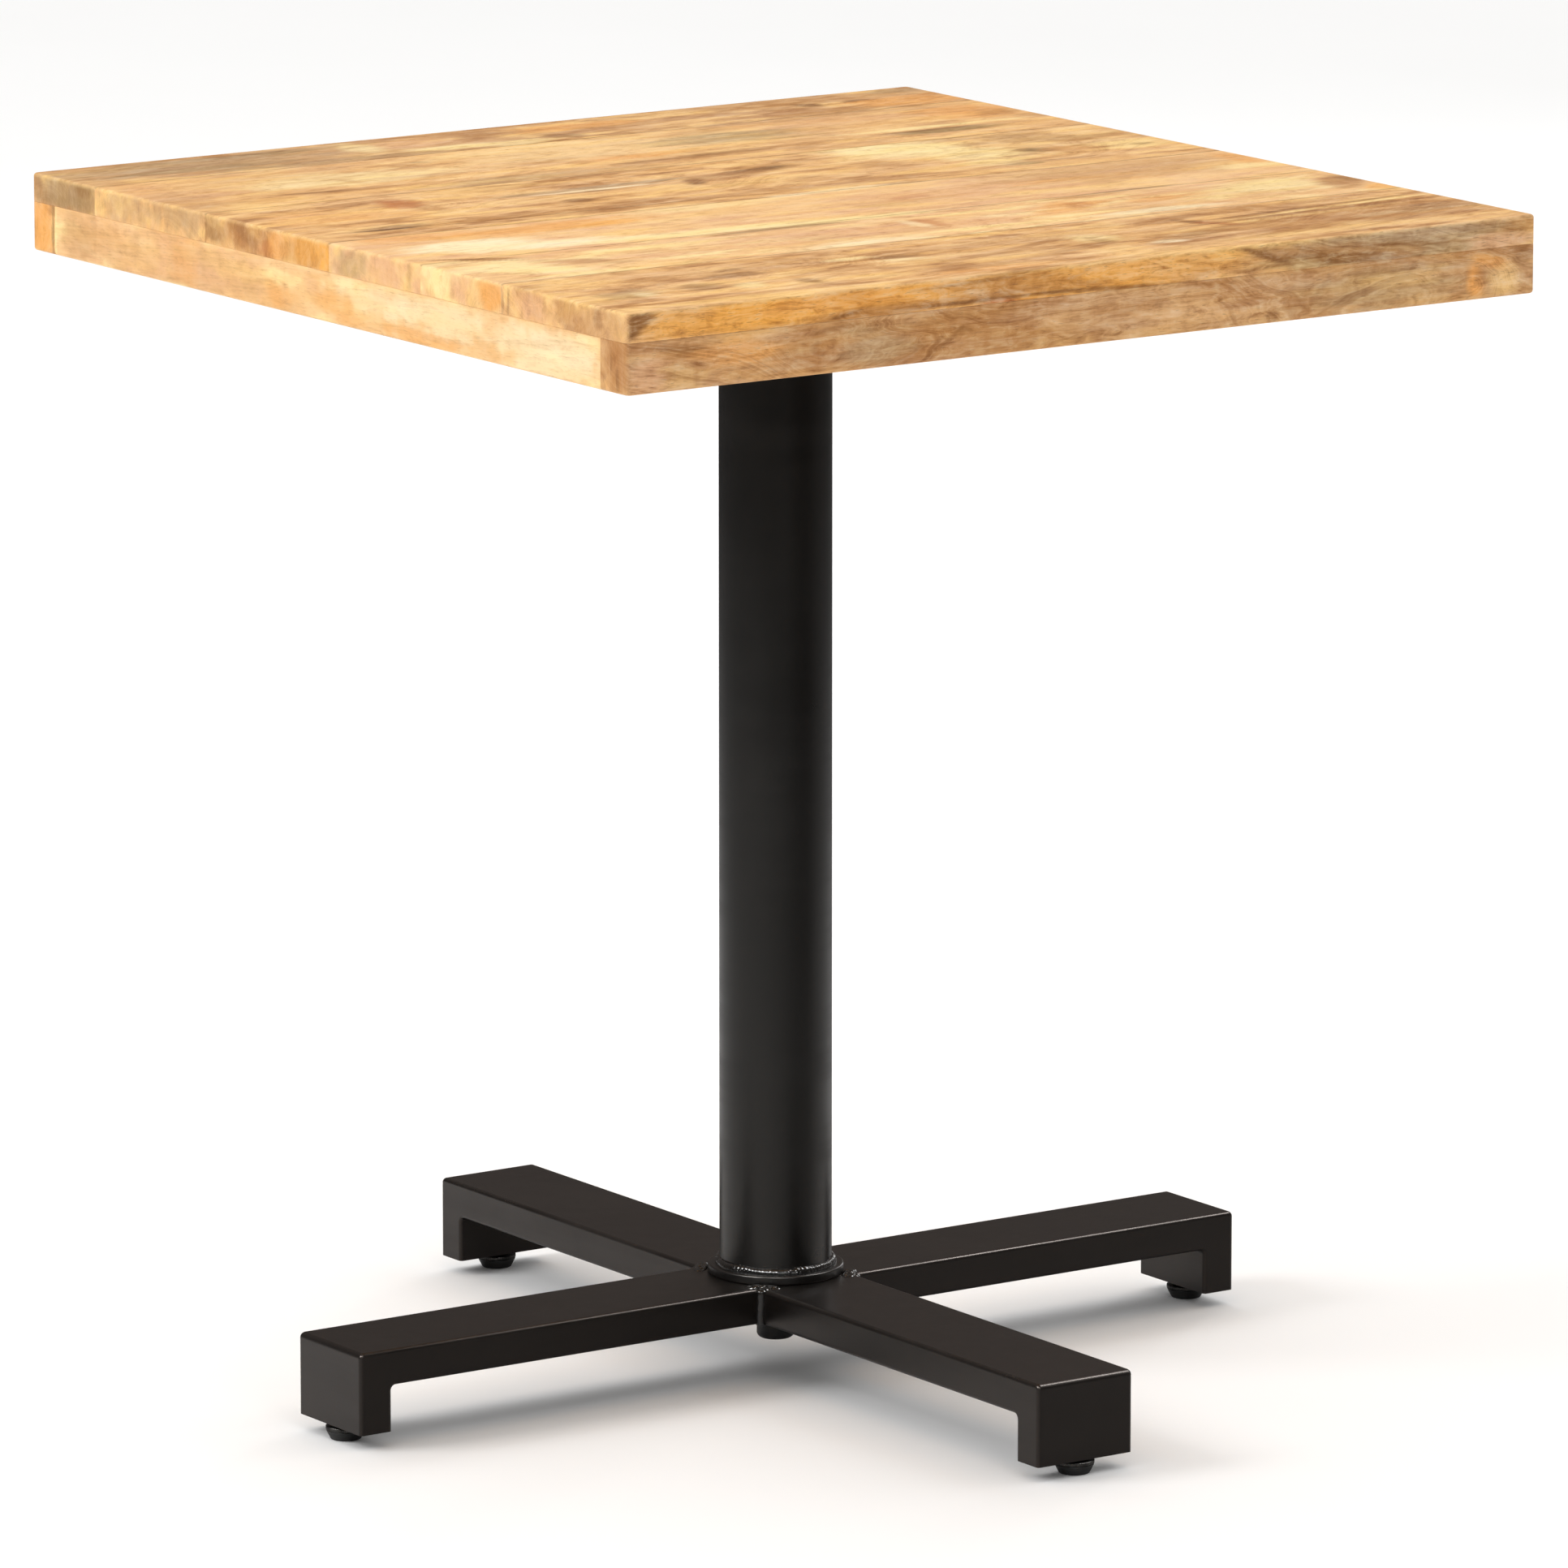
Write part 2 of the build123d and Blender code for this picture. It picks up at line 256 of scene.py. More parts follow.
class Nodes:
    """A node tree, with short calls for the kinds of node that the looks use."""

    def __init__(self, tree):
        self.tree = tree
        tree.nodes.clear()

    def add(self, kind, **settings):
        node = self.tree.nodes.new(kind)
        for key, value in settings.items():
            setattr(node, key, value)
        return node

    def put(self, socket, value):
        """Links an output to an input, or sets the input to a plain value."""
        if isinstance(value, bpy.types.NodeSocket):
            self.tree.links.new(value, socket)
        else:
            socket.default_value = value

    def feed(self, node, **values):
        """Fills a node's named inputs, where _ stands for a space, and gives its output."""
        for key, value in values.items():
            self.put(node.inputs[key.replace("_", " ")], value)
        return node.outputs[0]

    def place(self, scale=(1, 1, 1), start=(0, 0, 0)):
        """Frame coordinates in metres, scaled along each axis and counted from a start."""
        here = self.add("ShaderNodeTexCoord").outputs["Object"]
        return self.feed(self.add("ShaderNodeMapping"), Vector=here, Scale=scale, Location=start)

    def noise(self, vector, scale, detail=3.0, roughness=0.55, distortion=0.0):
        node = self.add("ShaderNodeTexNoise")
        self.feed(node, Vector=vector, Scale=scale, Distortion=distortion)
        return self.feed(node, Detail=detail, Roughness=roughness)

    def line_noise(self, value, scale, detail=3.0, roughness=0.55):
        node = self.add("ShaderNodeTexNoise", noise_dimensions="1D")
        return self.feed(node, W=value, Scale=scale, Detail=detail, Roughness=roughness)

    def attribute(self, name):
        return self.add("ShaderNodeAttribute", attribute_name=name).outputs

    def maths(self, operation, first, second=0.0, third=0.0):
        node = self.add("ShaderNodeMath", operation=operation)
        for socket, value in zip(node.inputs, (first, second, third)):
            self.put(socket, value)
        return node.outputs[0]

    def times(self, first, second):
        return self.maths("MULTIPLY", first, second)

    def remap(self, value, low, high, to_low=0.0, to_high=1.0):
        """Eases from to_low, where the value is low, to to_high, where it is high."""
        node = self.add("ShaderNodeMapRange", interpolation_type="SMOOTHSTEP")
        self.feed(node, Value=value, From_Min=low, From_Max=high)
        return self.feed(node, To_Min=to_low, To_Max=to_high)

    def glow(self, vector, direction, start, full, strength):
        """Grows from 0 to a strength as a vector turns towards a direction."""
        facing = self.add("ShaderNodeVectorMath", operation="DOT_PRODUCT")
        self.put(facing.inputs[0], vector)
        facing.inputs[1].default_value = direction
        return self.remap(facing.outputs["Value"], start, full, 0.0, strength)

    def mix(self, share, first, second, blend="MIX"):
        node = self.add("ShaderNodeMix", data_type="RGBA", blend_type=blend)
        self.put(node.inputs[0], share)
        self.put(node.inputs[6], first)
        self.put(node.inputs[7], second)
        return node.outputs[2]

    def mix_value(self, share, first, second):
        node = self.add("ShaderNodeMix", data_type="FLOAT")
        self.put(node.inputs[0], share)
        self.put(node.inputs[2], first)
        self.put(node.inputs[3], second)
        return node.outputs[0]

    def bump(self, height, distance, strength):
        node = self.add("ShaderNodeBump")
        return self.feed(node, Height=height, Distance=distance, Strength=strength)


class Graph(Nodes):
    """A material's nodes, round one Principled shader."""

    def __init__(self, name):
        self.material = bpy.data.materials.new(name)
        self.material.use_nodes = True
        super().__init__(self.material.node_tree)
        self.shader = self.add("ShaderNodeBsdfPrincipled")
        output = self.add("ShaderNodeOutputMaterial")
        self.put(output.inputs["Surface"], self.shader.outputs["BSDF"])

    def surface(self, **values):
        self.feed(self.shader, **values)


def linear(red, green, blue):
    """A display colour from 0 to 255 as linear light."""
    parts = [channel / 255 for channel in (red, green, blue)]
    return [c / 12.92 if c <= 0.04045 else ((c + 0.055) / 1.055) ** 2.4 for c in parts]


# --- Wood -------------------------------------------------

TINTS = {
    "cream": linear(255, 226, 160),
    "white": linear(255, 234, 188),
    "gold": linear(250, 204, 132),
    "orange": linear(240, 170, 92),
    "amber": linear(246, 176, 84),
    "tan": linear(234, 182, 120),
    "peach": linear(244, 196, 136),
    "pink": linear(232, 178, 128),
    "dun": linear(212, 162, 108),
    "brown": linear(188, 132, 78),
    "umber": linear(148, 99, 55),
    "dark": linear(104, 68, 38),
    "grey": linear(184, 150, 108),
    "olive": linear(166, 131, 82),
    "rust": linear(196, 120, 68),
}


def wood_material(name, along_y=False):
    """Oiled mango wood. The tone attribute gives its colour, ring and figure its growth lines,
    end its end grain, and noise its fibres, flecks and pores."""
    g = Graph(name)

    def place(along, across):
        return g.place((across, along, across) if along_y else (along, across, across))

    tone = g.attribute("tone")["Color"]
    ring = g.attribute("ring")["Fac"]
    figure = g.attribute("figure")["Fac"]
    end = g.attribute("end")["Fac"]
    grain = g.times(g.attribute("grain")["Fac"], g.remap(end, 0.0, 1.0, 1.0, 0.62))

    # Growth lines, which follow the ring attribute.
    bands = g.line_noise(ring, 160.0, roughness=0.6)
    lines = g.line_noise(ring, 800.0, detail=2.0, roughness=0.6)
    off_contour = g.maths("SUBTRACT", g.line_noise(ring, 60.0, detail=1.0), 0.5)
    contour = g.remap(g.maths("ABSOLUTE", off_contour), 0.035, 0.0)

    # Fibres, flecks and pores: long ones along the grain, round ones on its ends.
    fibre = g.noise(place(24, 560), 1.0, detail=4.0, roughness=0.6, distortion=0.2)
    fibre = g.mix_value(end, fibre, g.noise(g.place((700, 700, 240)), 1.0))
    fleck = g.noise(place(52, 170), 1.0, detail=4.0, roughness=0.62, distortion=0.9)
    fleck = g.mix_value(end, fleck, g.noise(g.place((150, 150, 60)), 1.0, roughness=0.6))
    pores = g.noise(place(150, 1500), 1.0, detail=1.0)
    pores = g.mix_value(end, pores, g.noise(g.place((1700, 1700, 1700)), 1.0, detail=1.0))
    pores = g.remap(pores, 0.62, 0.70)
    streak = g.noise(place(7, 1300), 1.0, detail=2.0, roughness=0.6)
    ripple = g.noise(place(130, 34), 1.0, roughness=0.6)

    # How far the tone is deepened, or lightened below 0.
    side_only = g.mix_value(end, 0.6, 0.0)
    weights = ((bands, 0.95), (lines, 0.9), (fibre, 1.2), (fleck, 2.6), (ripple, 0.7))
    shade = 0.0
    for pattern, weight in (*weights, (streak, side_only)):
        shade = g.maths("MULTIPLY_ADD", g.maths("SUBTRACT", 0.5, pattern), weight, shade)
    shade = g.times(shade, grain)
    deep = g.mix(1.0, tone, (0.50, 0.36, 0.24, 1), blend="MULTIPLY")
    colour = g.mix(shade, tone, deep)
    colour = g.mix(g.times(shade, -0.42), colour, (1.0, 0.80, 0.50, 1))
    line_strength = g.times(figure, g.mix_value(end, 0.6, 0.15))
    colour = g.mix(g.times(contour, line_strength), colour, deep)
    speck = g.times(g.remap(fleck, 0.36, 0.27), g.remap(figure, 0.0, 0.3))
    colour = g.mix(g.times(speck, g.times(grain, 0.55)), colour, deep)
    colour = g.mix(g.times(pores, g.times(grain, 0.36)), colour, (0.20, 0.105, 0.045, 1))

    # A cast that drifts between warm and cool.
    cast = g.remap(g.noise(place(14, 90), 1.0, detail=4.0, roughness=0.6), 0.3, 0.7)
    cast = g.mix(cast, (1.0, 0.97, 0.85, 1), (1.0, 1.03, 1.17, 1))
    colour = g.mix(g.times(grain, 1.2), colour, g.mix(1.0, colour, cast, blend="MULTIPLY"))

    height = g.maths("MULTIPLY_ADD", fibre, 0.6, g.times(pores, -0.9))
    height = g.maths("MULTIPLY_ADD", bands, 0.4, height)
    rough = g.maths("MULTIPLY_ADD", fibre, 0.20, 0.38)
    g.surface(Base_Color=colour, Roughness=rough, Specular_IOR_Level=0.22)
    g.surface(Coat_Weight=0.03, Coat_Roughness=0.35, Normal=g.bump(height, 0.10 * MM, 0.8))
    return g.material


wood_along_x = wood_material("mango_wood_long")
wood_along_y = wood_material("mango_wood_cross", along_y=True)

ALONG_STEP = 3.0 * MM
ACROSS_STEP = 1.2 * MM
TOP_ROUND = 2.0 * MM
TOP_CORNER = 4.0 * MM
SEAM_ROUND = 0.35 * MM
ARC_ANGLES = [math.radians(a) for a in (0, 22.5, 45, 67.5, 90)]


def arc_steps(radius):
    """Distances in from an edge at which a rounded edge is divided."""
    return [radius * (1 - math.cos(a)) for a in ARC_ANGLES]


def divisions(low, high, step, low_steps, high_steps):
    """Places along one side of a block, close together at its rounded ends."""
    start = [low + s for s in low_steps]
    end = [high - s for s in reversed(high_steps)]
    count = max(2, math.ceil((end[0] - start[-1]) / step) + 1)
    return np.array(start[:-1] + list(np.linspace(start[-1], end[0], count)) + end[1:])


def fall(distance, radius):
    """How far a rounded edge falls below its face, at a distance in from the edge."""
    reach = np.clip(radius - distance, 0, radius)
    return radius - np.sqrt(radius**2 - reach**2)


def shell_of_box(xs, ys, zs):
    """The surface of a box divided at the given places, as points and outward quads."""
    sizes = (len(xs), len(ys), len(zs))
    i, j, k = np.meshgrid(*(np.arange(s) for s in sizes), indexing="ij")
    edge = np.zeros(sizes, bool)
    for place, size in zip((i, j, k), sizes):
        edge |= (place == 0) | (place == size - 1)
    index = np.full(sizes, -1)
    index[edge] = np.arange(edge.sum())
    points = np.stack([xs[i[edge]], ys[j[edge]], zs[k[edge]]], axis=1)

    def quads(sheet, outward):
        a, b, c, d = sheet[:-1, :-1], sheet[1:, :-1], sheet[1:, 1:], sheet[:-1, 1:]
        order = (a, b, c, d) if outward else (a, d, c, b)
        return np.stack([s.ravel() for s in order], axis=1)

    faces = np.concatenate([
        quads(index[:, :, -1], True), quads(index[:, :, 0], False),
        quads(index[-1, :, :], True), quads(index[0, :, :], False),
        quads(index[:, 0, :], True), quads(index[:, -1, :], False),
    ])
    return points, faces


def timber_shape(low, high, over, under, corners, grain_axis):
    """A board or strip as a block, divided finely across its grain. over and under give the
    rounding of its upper and lower edges by side (-x, +x, -y, +y); corners names its rounded
    vertical corners."""
    steps = []
    for radius in map(max, over, under):
        corner = [0.75 * TOP_CORNER, TOP_CORNER] if radius == TOP_ROUND else []
        steps.append(arc_steps(radius) + corner)
    grid = [ACROSS_STEP] * 3
    grid[grain_axis] = ALONG_STEP
    xs = divisions(low.x, high.x, grid[0], steps[0], steps[1])
    ys = divisions(low.y, high.y, grid[1], steps[2], steps[3])
    zs = divisions(low.z, high.z, grid[2], [0.0], [0.0])
    points, faces = shell_of_box(xs, ys, zs)
    inward = np.stack([points[:, 0] - low.x, high.x - points[:, 0],
                       points[:, 1] - low.y, high.y - points[:, 1]], axis=1)
    drop = np.max([fall(inward[:, s], over[s]) for s in range(4)], axis=0)
    rise = np.max([fall(inward[:, s], under[s]) for s in range(4)], axis=0)
    thickness = high.z - low.z
    share = (points[:, 2] - low.z) / thickness
    points[:, 2] = low.z + rise + share * (thickness - drop - rise)
    for side_x, side_y in corners:
        dx = TOP_CORNER - inward[:, side_x]
        dy = TOP_CORNER - inward[:, side_y]
        near = (dx > 0) & (dy > 0)
        shrink = np.ones(len(points))
        shrink[near] = np.maximum(dx, dy)[near] / np.hypot(dx, dy)[near]
        x_sign = 1 if side_x == 0 else -1
        y_sign = 1 if side_y == 2 else -1
        points[near, 0] += x_sign * (dx * (1 - shrink))[near]
        points[near, 1] += y_sign * (dy * (1 - shrink))[near]
    return points, faces


def patches(*lines):
    """Patches of the wood's figure, from lines of words with commas between the patches: tint,
    along, across, half length, half width, strength and, where there is one, slope. Along runs
    from 0 at the left (or back, on the left edge) to 1. On the top, across runs from 0 at the back
    to 1 at the front; on an edge, from 0 at its upper line to 1 at its lower. Half sizes are in
    millimetres."""
    result = []
    for patch in ", ".join(lines).split(", "):
        tint, *numbers = patch.split()
        along, across, half_length, half_width, strength, slope = map(float, (numbers + [0])[:6])
        result.append((tint, along, across, half_length, half_width, strength, slope))
    return result


TOP_FIGURE = patches(
    # board 1, at the back
    "dun .2 .055 200 30 .7, olive .22 .025 90 6 .7, olive .14 .072 60 7 .7, grey .26 .1 90 8 .6 .05",
    "umber .24 .018 40 3 .6, grey .1 .045 30 8 .5, cream .335 .045 14 24 .7",
    "cream .41 .09 34 9 .85 .05, pink .39 .045 30 18 .6, brown .475 .035 16 14 .7",
    "umber .54 .088 14 9 .6 .3, orange .58 .04 50 14 .6, gold .7 .03 30 8 .6",
    "brown .74 .055 20 8 .6, tan .68 .08 60 10 .5, brown .8 .085 50 10 .4",
    "umber .845 .053 10 8 .8 .4, umber .905 .057 12 7 .8 .3, orange .94 .08 50 22 .7",
    "grey .975 .02 26 8 .6",
    # board 2
    "pink .05 .18 34 44 .6, dun .03 .23 20 30 .6, gold .12 .17 60 20 .5, cream .22 .2 74 26 .75 .05",
    "cream .17 .21 40 16 .5, brown .31 .17 16 12 .55 .6, umber .335 .155 7 4 .6 .5",
    "brown .215 .215 8 12 .45 .8, gold .42 .135 60 14 .7, cream .48 .1 30 14 .6",
    "peach .5 .19 100 30 .6, olive .665 .168 60 7 .6, olive .66 .192 64 7 .55",
    "olive .7 .214 36 4 .5, grey .665 .182 70 20 .5, pink .8 .15 60 16 .5, tan .82 .2 60 16 .5",
    "orange .95 .17 40 30 .7, brown .97 .19 18 14 .5, cream .86 .236 70 5 .8",
    "orange .53 .235 60 8 .7 -.1, gold .64 .225 80 6 .6",
    # seam of boards 2 and 3, and board 3
    "brown .2 .262 60 7 .7 .03, umber .16 .258 36 4 .6 .1, grey .36 .29 90 14 .5 -.03",
    "umber .57 .266 66 6 .55 -.02, brown .57 .275 50 5 .6, brown .7 .258 60 4 .6",
    "olive .86 .262 46 9 .9 .02, umber .85 .252 44 3 .7, gold .07 .3 40 26 .5",
    "orange .09 .4 50 30 .35, gold .28 .325 60 18 .5, rust .178 .36 15 19 .85",
    "brown .19 .39 10 20 .5, dun .42 .3 26 9 .7, grey .37 .378 74 5 .7, white .38 .388 60 3 .7",
    "umber .36 .395 30 2.5 .6, grey .44 .372 40 4 .6, umber .325 .432 11 7 .7",
    "umber .478 .402 10 11 .9 -.7, umber .565 .372 38 8 .75 -.15, dark .575 .368 20 4 .5 -.15",
    "brown .52 .385 40 12 .6 -.15, gold .52 .435 60 8 .6, brown .68 .405 20 14 .5 .3",
    "brown .69 .315 18 6 .5 -.4, cream .745 .335 50 38 1 .15, cream .79 .4 34 30 .85 .2",
    "cream .78 .46 26 14 .6, brown .89 .34 30 22 .5 .1, umber .855 .415 14 10 .95 .2",
    "dark .853 .415 6 5 .7, rust .89 .425 22 14 .6, brown .93 .375 24 9 .5",
    "cream .955 .435 30 16 .55, olive .963 .439 9 5 .6, olive .8 .482 14 6 .6",
    "brown .3 .478 70 6 .6, umber .1 .472 34 6 .65 .06, dark .085 .482 24 2.5 .8 .06",
    "brown .55 .485 110 9 .5, umber .27 .49 120 2 .6 .02",
    # board 4
    "orange .08 .535 40 14 .6, orange .2 .553 80 16 .75, amber .275 .56 24 11 .7",
    "cream .4 .535 50 12 .6, white .1 .605 46 22 1 .03, white .17 .635 60 13 .9 .05",
    "cream .32 .655 100 10 .95 .04, cream .46 .668 80 7 .9 .02, white .56 .518 60 6 .5",
    "peach .45 .57 60 18 .6, brown .57 .605 40 12 .4 -.1, pink .62 .58 80 24 .7",
    "rust .59 .59 16 8 .35 -.3, brown .71 .565 14 8 .5, orange .82 .585 70 13 .5",
    "peach .92 .53 30 12 .5, orange .985 .565 12 26 .8, cream .96 .61 34 9 .7",
    "gold .74 .635 80 8 .5",
    # seam of boards 4 and 5, and board 5
    "olive .39 .678 66 4 .6, umber .38 .676 50 1.8 .45, umber .78 .668 34 3 .7 -.03",
    "brown .72 .677 40 4 .6, brown .065 .675 30 5 .8 .45, umber .05 .667 24 1.8 .8 .5",
    "umber .06 .682 24 1.8 .8 .5, cream .06 .735 36 20 .9 .4, cream .1 .78 30 12 .7 .3",
    "brown .135 .735 26 12 .6 .6, gold .17 .785 40 12 .6 .1, cream .25 .7 50 8 .5",
    "pink .22 .74 40 10 .4, pink .44 .74 90 22 .6, rust .515 .725 7 17 .5 .5",
    "white .5 .725 6 16 .5 .5, orange .675 .72 34 18 .7 -.3, rust .69 .715 12 13 .4 -.6",
    "orange .765 .728 24 8 .6, cream .73 .695 30 5 .6, cream .895 .72 44 26 1 -.1",
    "brown .975 .74 20 22 .85 -.4, umber .988 .725 8 10 .6, amber .985 .785 14 12 .6 -.3",
    "white .72 .782 60 7 .8, white .4 .79 50 6 .6, cream .55 .775 60 6 .5",
    # board 6, at the front
    "gold .05 .83 30 20 .5, brown .12 .81 12 6 .6, dun .25 .85 70 16 .7 -.05",
    "umber .21 .85 14 5 .5 -.2, grey .06 .915 20 16 .6, white .07 .92 10 9 .5",
    "umber .135 .915 16 13 .6, umber .2 .875 22 8 .6 .1, cream .18 .93 12 10 .7",
    "umber .235 .94 9 14 .6 .5, brown .3 .9 40 10 .5, umber .37 .87 20 6 .8 .1",
    "cream .33 .858 16 6 .7, cream .37 .888 24 5 .7 .1, dun .5 .855 60 13 .6",
    "cream .585 .885 17 15 .75 .2, gold .47 .925 40 13 .5, brown .42 .955 40 9 .5",
    "umber .58 .9 8 20 .4 -.5, white .63 .938 15 7 .8, umber .715 .86 9 12 .8 1.2",
    "rust .73 .88 12 9 .8 .9, umber .68 .915 30 10 .6 -.2, brown .8 .825 130 9 .6 -.05",
    "umber .88 .845 90 3 .7 -.09, umber .83 .87 110 3 .6 -.06, cream .88 .855 90 2.5 .7 -.09",
    "cream .83 .88 70 2.5 .6 -.06, umber .76 .895 70 3 .5 -.05, grey .94 .91 44 14 .7",
    "white .88 .915 20 6 .6 -.1, brown .94 .945 50 8 .5, gold .15 .985 110 7 .7",
    "gold .8 .965 100 10 .6, orange .4 .975 60 7 .5, brown .75 .99 30 6 .5",
    # broad shades
    "dun .16 .17 110 40 .3, brown .85 .91 130 38 .62, dun .84 .56 100 40 .75",
    "grey .15 .05 120 30 .6, dun .5 .9 110 36 .25, cream .5 .17 110 40 .28, dun .86 .74 110 40 .22",
    "cream .85 .37 110 50 .22",
)
FRONT_FIGURE = patches(
    # edge of board 6
    "amber .3 .18 250 14 1, orange .22 .12 60 6 .5, umber .005 .16 20 8 .9 -.5",
    "brown .32 .3 120 4 .7 -.02, brown .42 .16 60 7 .6 .02, umber .4 .31 60 1.3 .8 -.01",
    "umber .52 .34 60 1.5 .7 .03, rust .4 .36 16 2.2 .9, umber .23 .31 16 1.5 .7 -.15",
    "umber .36 .08 40 1.2 .5 -.03, grey .83 .18 108 15 .9, brown .78 .2 60 6 .6 .05",
    "umber .69 .14 22 2 .8 .35, umber .77 .24 50 1.6 .8 .06, umber .8 .33 50 1.6 .8 .05",
    "umber .84 .18 50 1.4 .6 .05, umber .74 .12 20 1.5 .6 .3, pink .96 .3 22 6 .7",
    "brown .98 .12 14 5 .5",
    # front strip
    "brown .24 .7 170 16 .6, brown .05 .5 28 5 .6, umber .055 .5 20 2.08 .42 .12",
    "pink .02 .8 16 14 .7, orange .12 .62 36 9 .6, gold .06 .85 16 8 .4, brown .073 .82 2.8 12 .42",
    "brown .203 .62 4.4 9 .59, brown .198 .86 3.2 9 .56, brown .195 .72 7 16 .6",
    "umber .225 .45 16 1.95 .42 -.1, grey .26 .72 26 14 .6, brown .3 .58 26 5 .5 .15",
    "umber .325 .86 8 2.6 .48 -1.1, umber .345 .73 10 2.34 .48 -.6, umber .363 .66 6 2.08 .42 .2",
    "brown .383 .82 4 8 .59, brown .4 .88 22 7 .7, brown .435 .76 4.4 10 .59 .2",
    "brown .455 .92 4 7 .56 .5, brown .41 .6 30 6 .6, dun .5 .75 30 14 .6, brown .54 .6 30 6 .5",
    "umber .574 .6 5 2.6 .36 .8, brown .645 .55 24 6 .6, tan .6 .75 36 12 .5",
    "brown .505 .95 6 3 .6 .8, umber .7 .94 5 5.2 .48, brown .742 .8 5.2 12 .56",
    "umber .757 .6 8 2.6 .42 -.8, brown .793 .66 4 5 .56 .3, grey .82 .72 60 16 .6",
    "gold .84 .62 40 6 .4, orange .93 .74 7 12 1 .3, brown .937 .76 5.6 7 .59 .1",
    "brown .908 .95 6 5 .42 -.5, orange .945 .52 14 5 .7 .3, gold .965 .8 14 9 .8",
    "umber .985 .48 8 7.8 .42",
)
LEFT_FIGURE = patches(
    # end grain of the boards
    "grey .06 .18 40 12 .85, olive .05 .28 30 4 .4, olive .1 .2 12 12 .45, umber .093 .1 10 4 .6",
    "grey .18 .18 36 12 .4, grey .27 .14 26 10 .5, olive .32 .18 14 14 .45, brown .385 .16 30 12 .7",
    "umber .37 .12 16 5 .4 .3, rust .41 .26 12 5 .5, orange .435 .18 12 13 .7",
    "amber .48 .18 20 14 1, amber .507 .18 9 14 1, grey .55 .18 20 12 .55, pink .61 .18 22 12 .7",
    "umber .652 .18 3 9 .3 .3, cream .7 .18 14 13 .8, pink .735 .16 12 9 .6, gold .76 .2 10 12 .7",
    "orange .785 .18 14 13 .9, umber .803 .24 1.6 9 .45 .2, umber .812 .22 1.4 9 .6 .2",
    "pink .845 .18 18 12 .7, brown .905 .18 14 12 .6, dun .955 .18 28 13 .9",
    "umber .955 .14 6 7 .4 .6",
    # left strip, and the ends of its neighbours
    "pink .25 .7 120 18 .75, peach .55 .75 80 14 .4, orange .02 .7 13 20 .9",
    "olive .038 .7 1.6 20 .8, cream .043 .7 1.6 20 .8, dun .085 .7 24 18 .8",
    "brown .112 .6 2.5 16 .4, tan .15 .7 26 16 .5, gold .2 .7 30 12 .5, orange .275 .72 16 16 .5",
    "gold .35 .6 50 8 .6 .05, rust .442 .66 5 4 .55 .2, orange .43 .8 14 8 .5 .2",
    "white .6 .6 60 10 .35, orange .53 .75 24 10 .5 .2, white .7 .6 60 12 .5, orange .66 .9 50 5 .5",
    "peach .8 .7 20 10 .5 .3, white .87 .7 60 18 .6, brown .985 .7 13 22 .8",
    "umber .985 .85 2 9 .6 .4, umber .975 .6 1.5 8 .5 .3, dun .25 .7 130 18 .35",
    "dun .135 .75 6 12 .35 .2, dun .185 .65 5 12 .35 -.2, pink .235 .7 6 12 .45 .1",
    "dun .3 .62 5 8 .35 .2, brown .33 .55 7 5 .3 .3, dun .385 .8 8 8 .35 -.2, pink .49 .6 9 7 .4 .3",
    "brown .475 .18 26 12 .4, olive .09 .18 60 12 .3",
)

# Base, light and dark tints of each piece of wood; the place of its rings' centre from its
# own middle (height and sideways) and that centre's drift along its length, in millimetres;
# how clearly its growth lines show; and how strongly its fibres and flecks do.
TIMBER = {
    "top_board_1": ("dun", "gold", "brown", -60, 20, 30, 0.30, 0.72),
    "top_board_2": ("tan", "gold", "dun", -90, -30, 40, 0.20, 0.66),
    "top_board_3": ("tan", "gold", "brown", -45, 35, 55, 0.35, 0.74),
    "top_board_4": ("peach", "gold", "pink", -120, 10, 20, 0.08, 0.60),
    "top_board_5": ("peach", "cream", "pink", -70, -25, 50, 0.25, 0.66),
    "top_board_6": ("tan", "gold", "brown", -35, 30, 70, 0.45, 0.80),
    "edge_strip_front": ("dun", "tan", "brown", -30, -26, 60, 0.55, 0.70),
    "edge_strip_back": ("tan", "gold", "brown", -40, 20, 40, 0.40, 0.80),
    "edge_strip_left": ("peach", "cream", "tan", -55, 20, 30, 0.12, 0.42),
    "edge_strip_right": ("tan", "cream", "dun", -50, -20, 40, 0.30, 0.70),
}

# Knots that bend the growth lines: (piece, place along it from 0 to 1, offset across its
# showing face, radius, push), the last three in millimetres. On a board the branch stands
# upright; on a strip it points out of the edge.
KNOTS = [
    ("top_board_3", 0.18, 4, 26, 22), ("top_board_3", 0.855, -30, 30, 26),
    ("top_board_3", 0.57, -4, 34, -22), ("top_board_1", 0.88, 0, 20, 16),
    ("top_board_6", 0.73, 22, 30, 24), ("top_board_6", 0.37, 24, 26, -20),
    ("top_board_6", 0.14, -10, 30, 22), ("top_board_5", 0.51, 0, 22, 14),
    ("top_board_2", 0.32, 16, 26, 14), ("edge_strip_front", 0.38, -16, 34, -14),
    ("edge_strip_front", 0.86, 8, 36, 26), ("edge_strip_front", 0.935, -2, 13, 20),
    ("edge_strip_front", 0.20, -10, 24, 16), ("edge_strip_front", 0.62, 14, 40, 18),
    ("edge_strip_back", 0.3, 0, 30, 20), ("edge_strip_right", 0.7, 4, 20, 18),
    ("edge_strip_left", 0.46, -3, 14, 6),
]

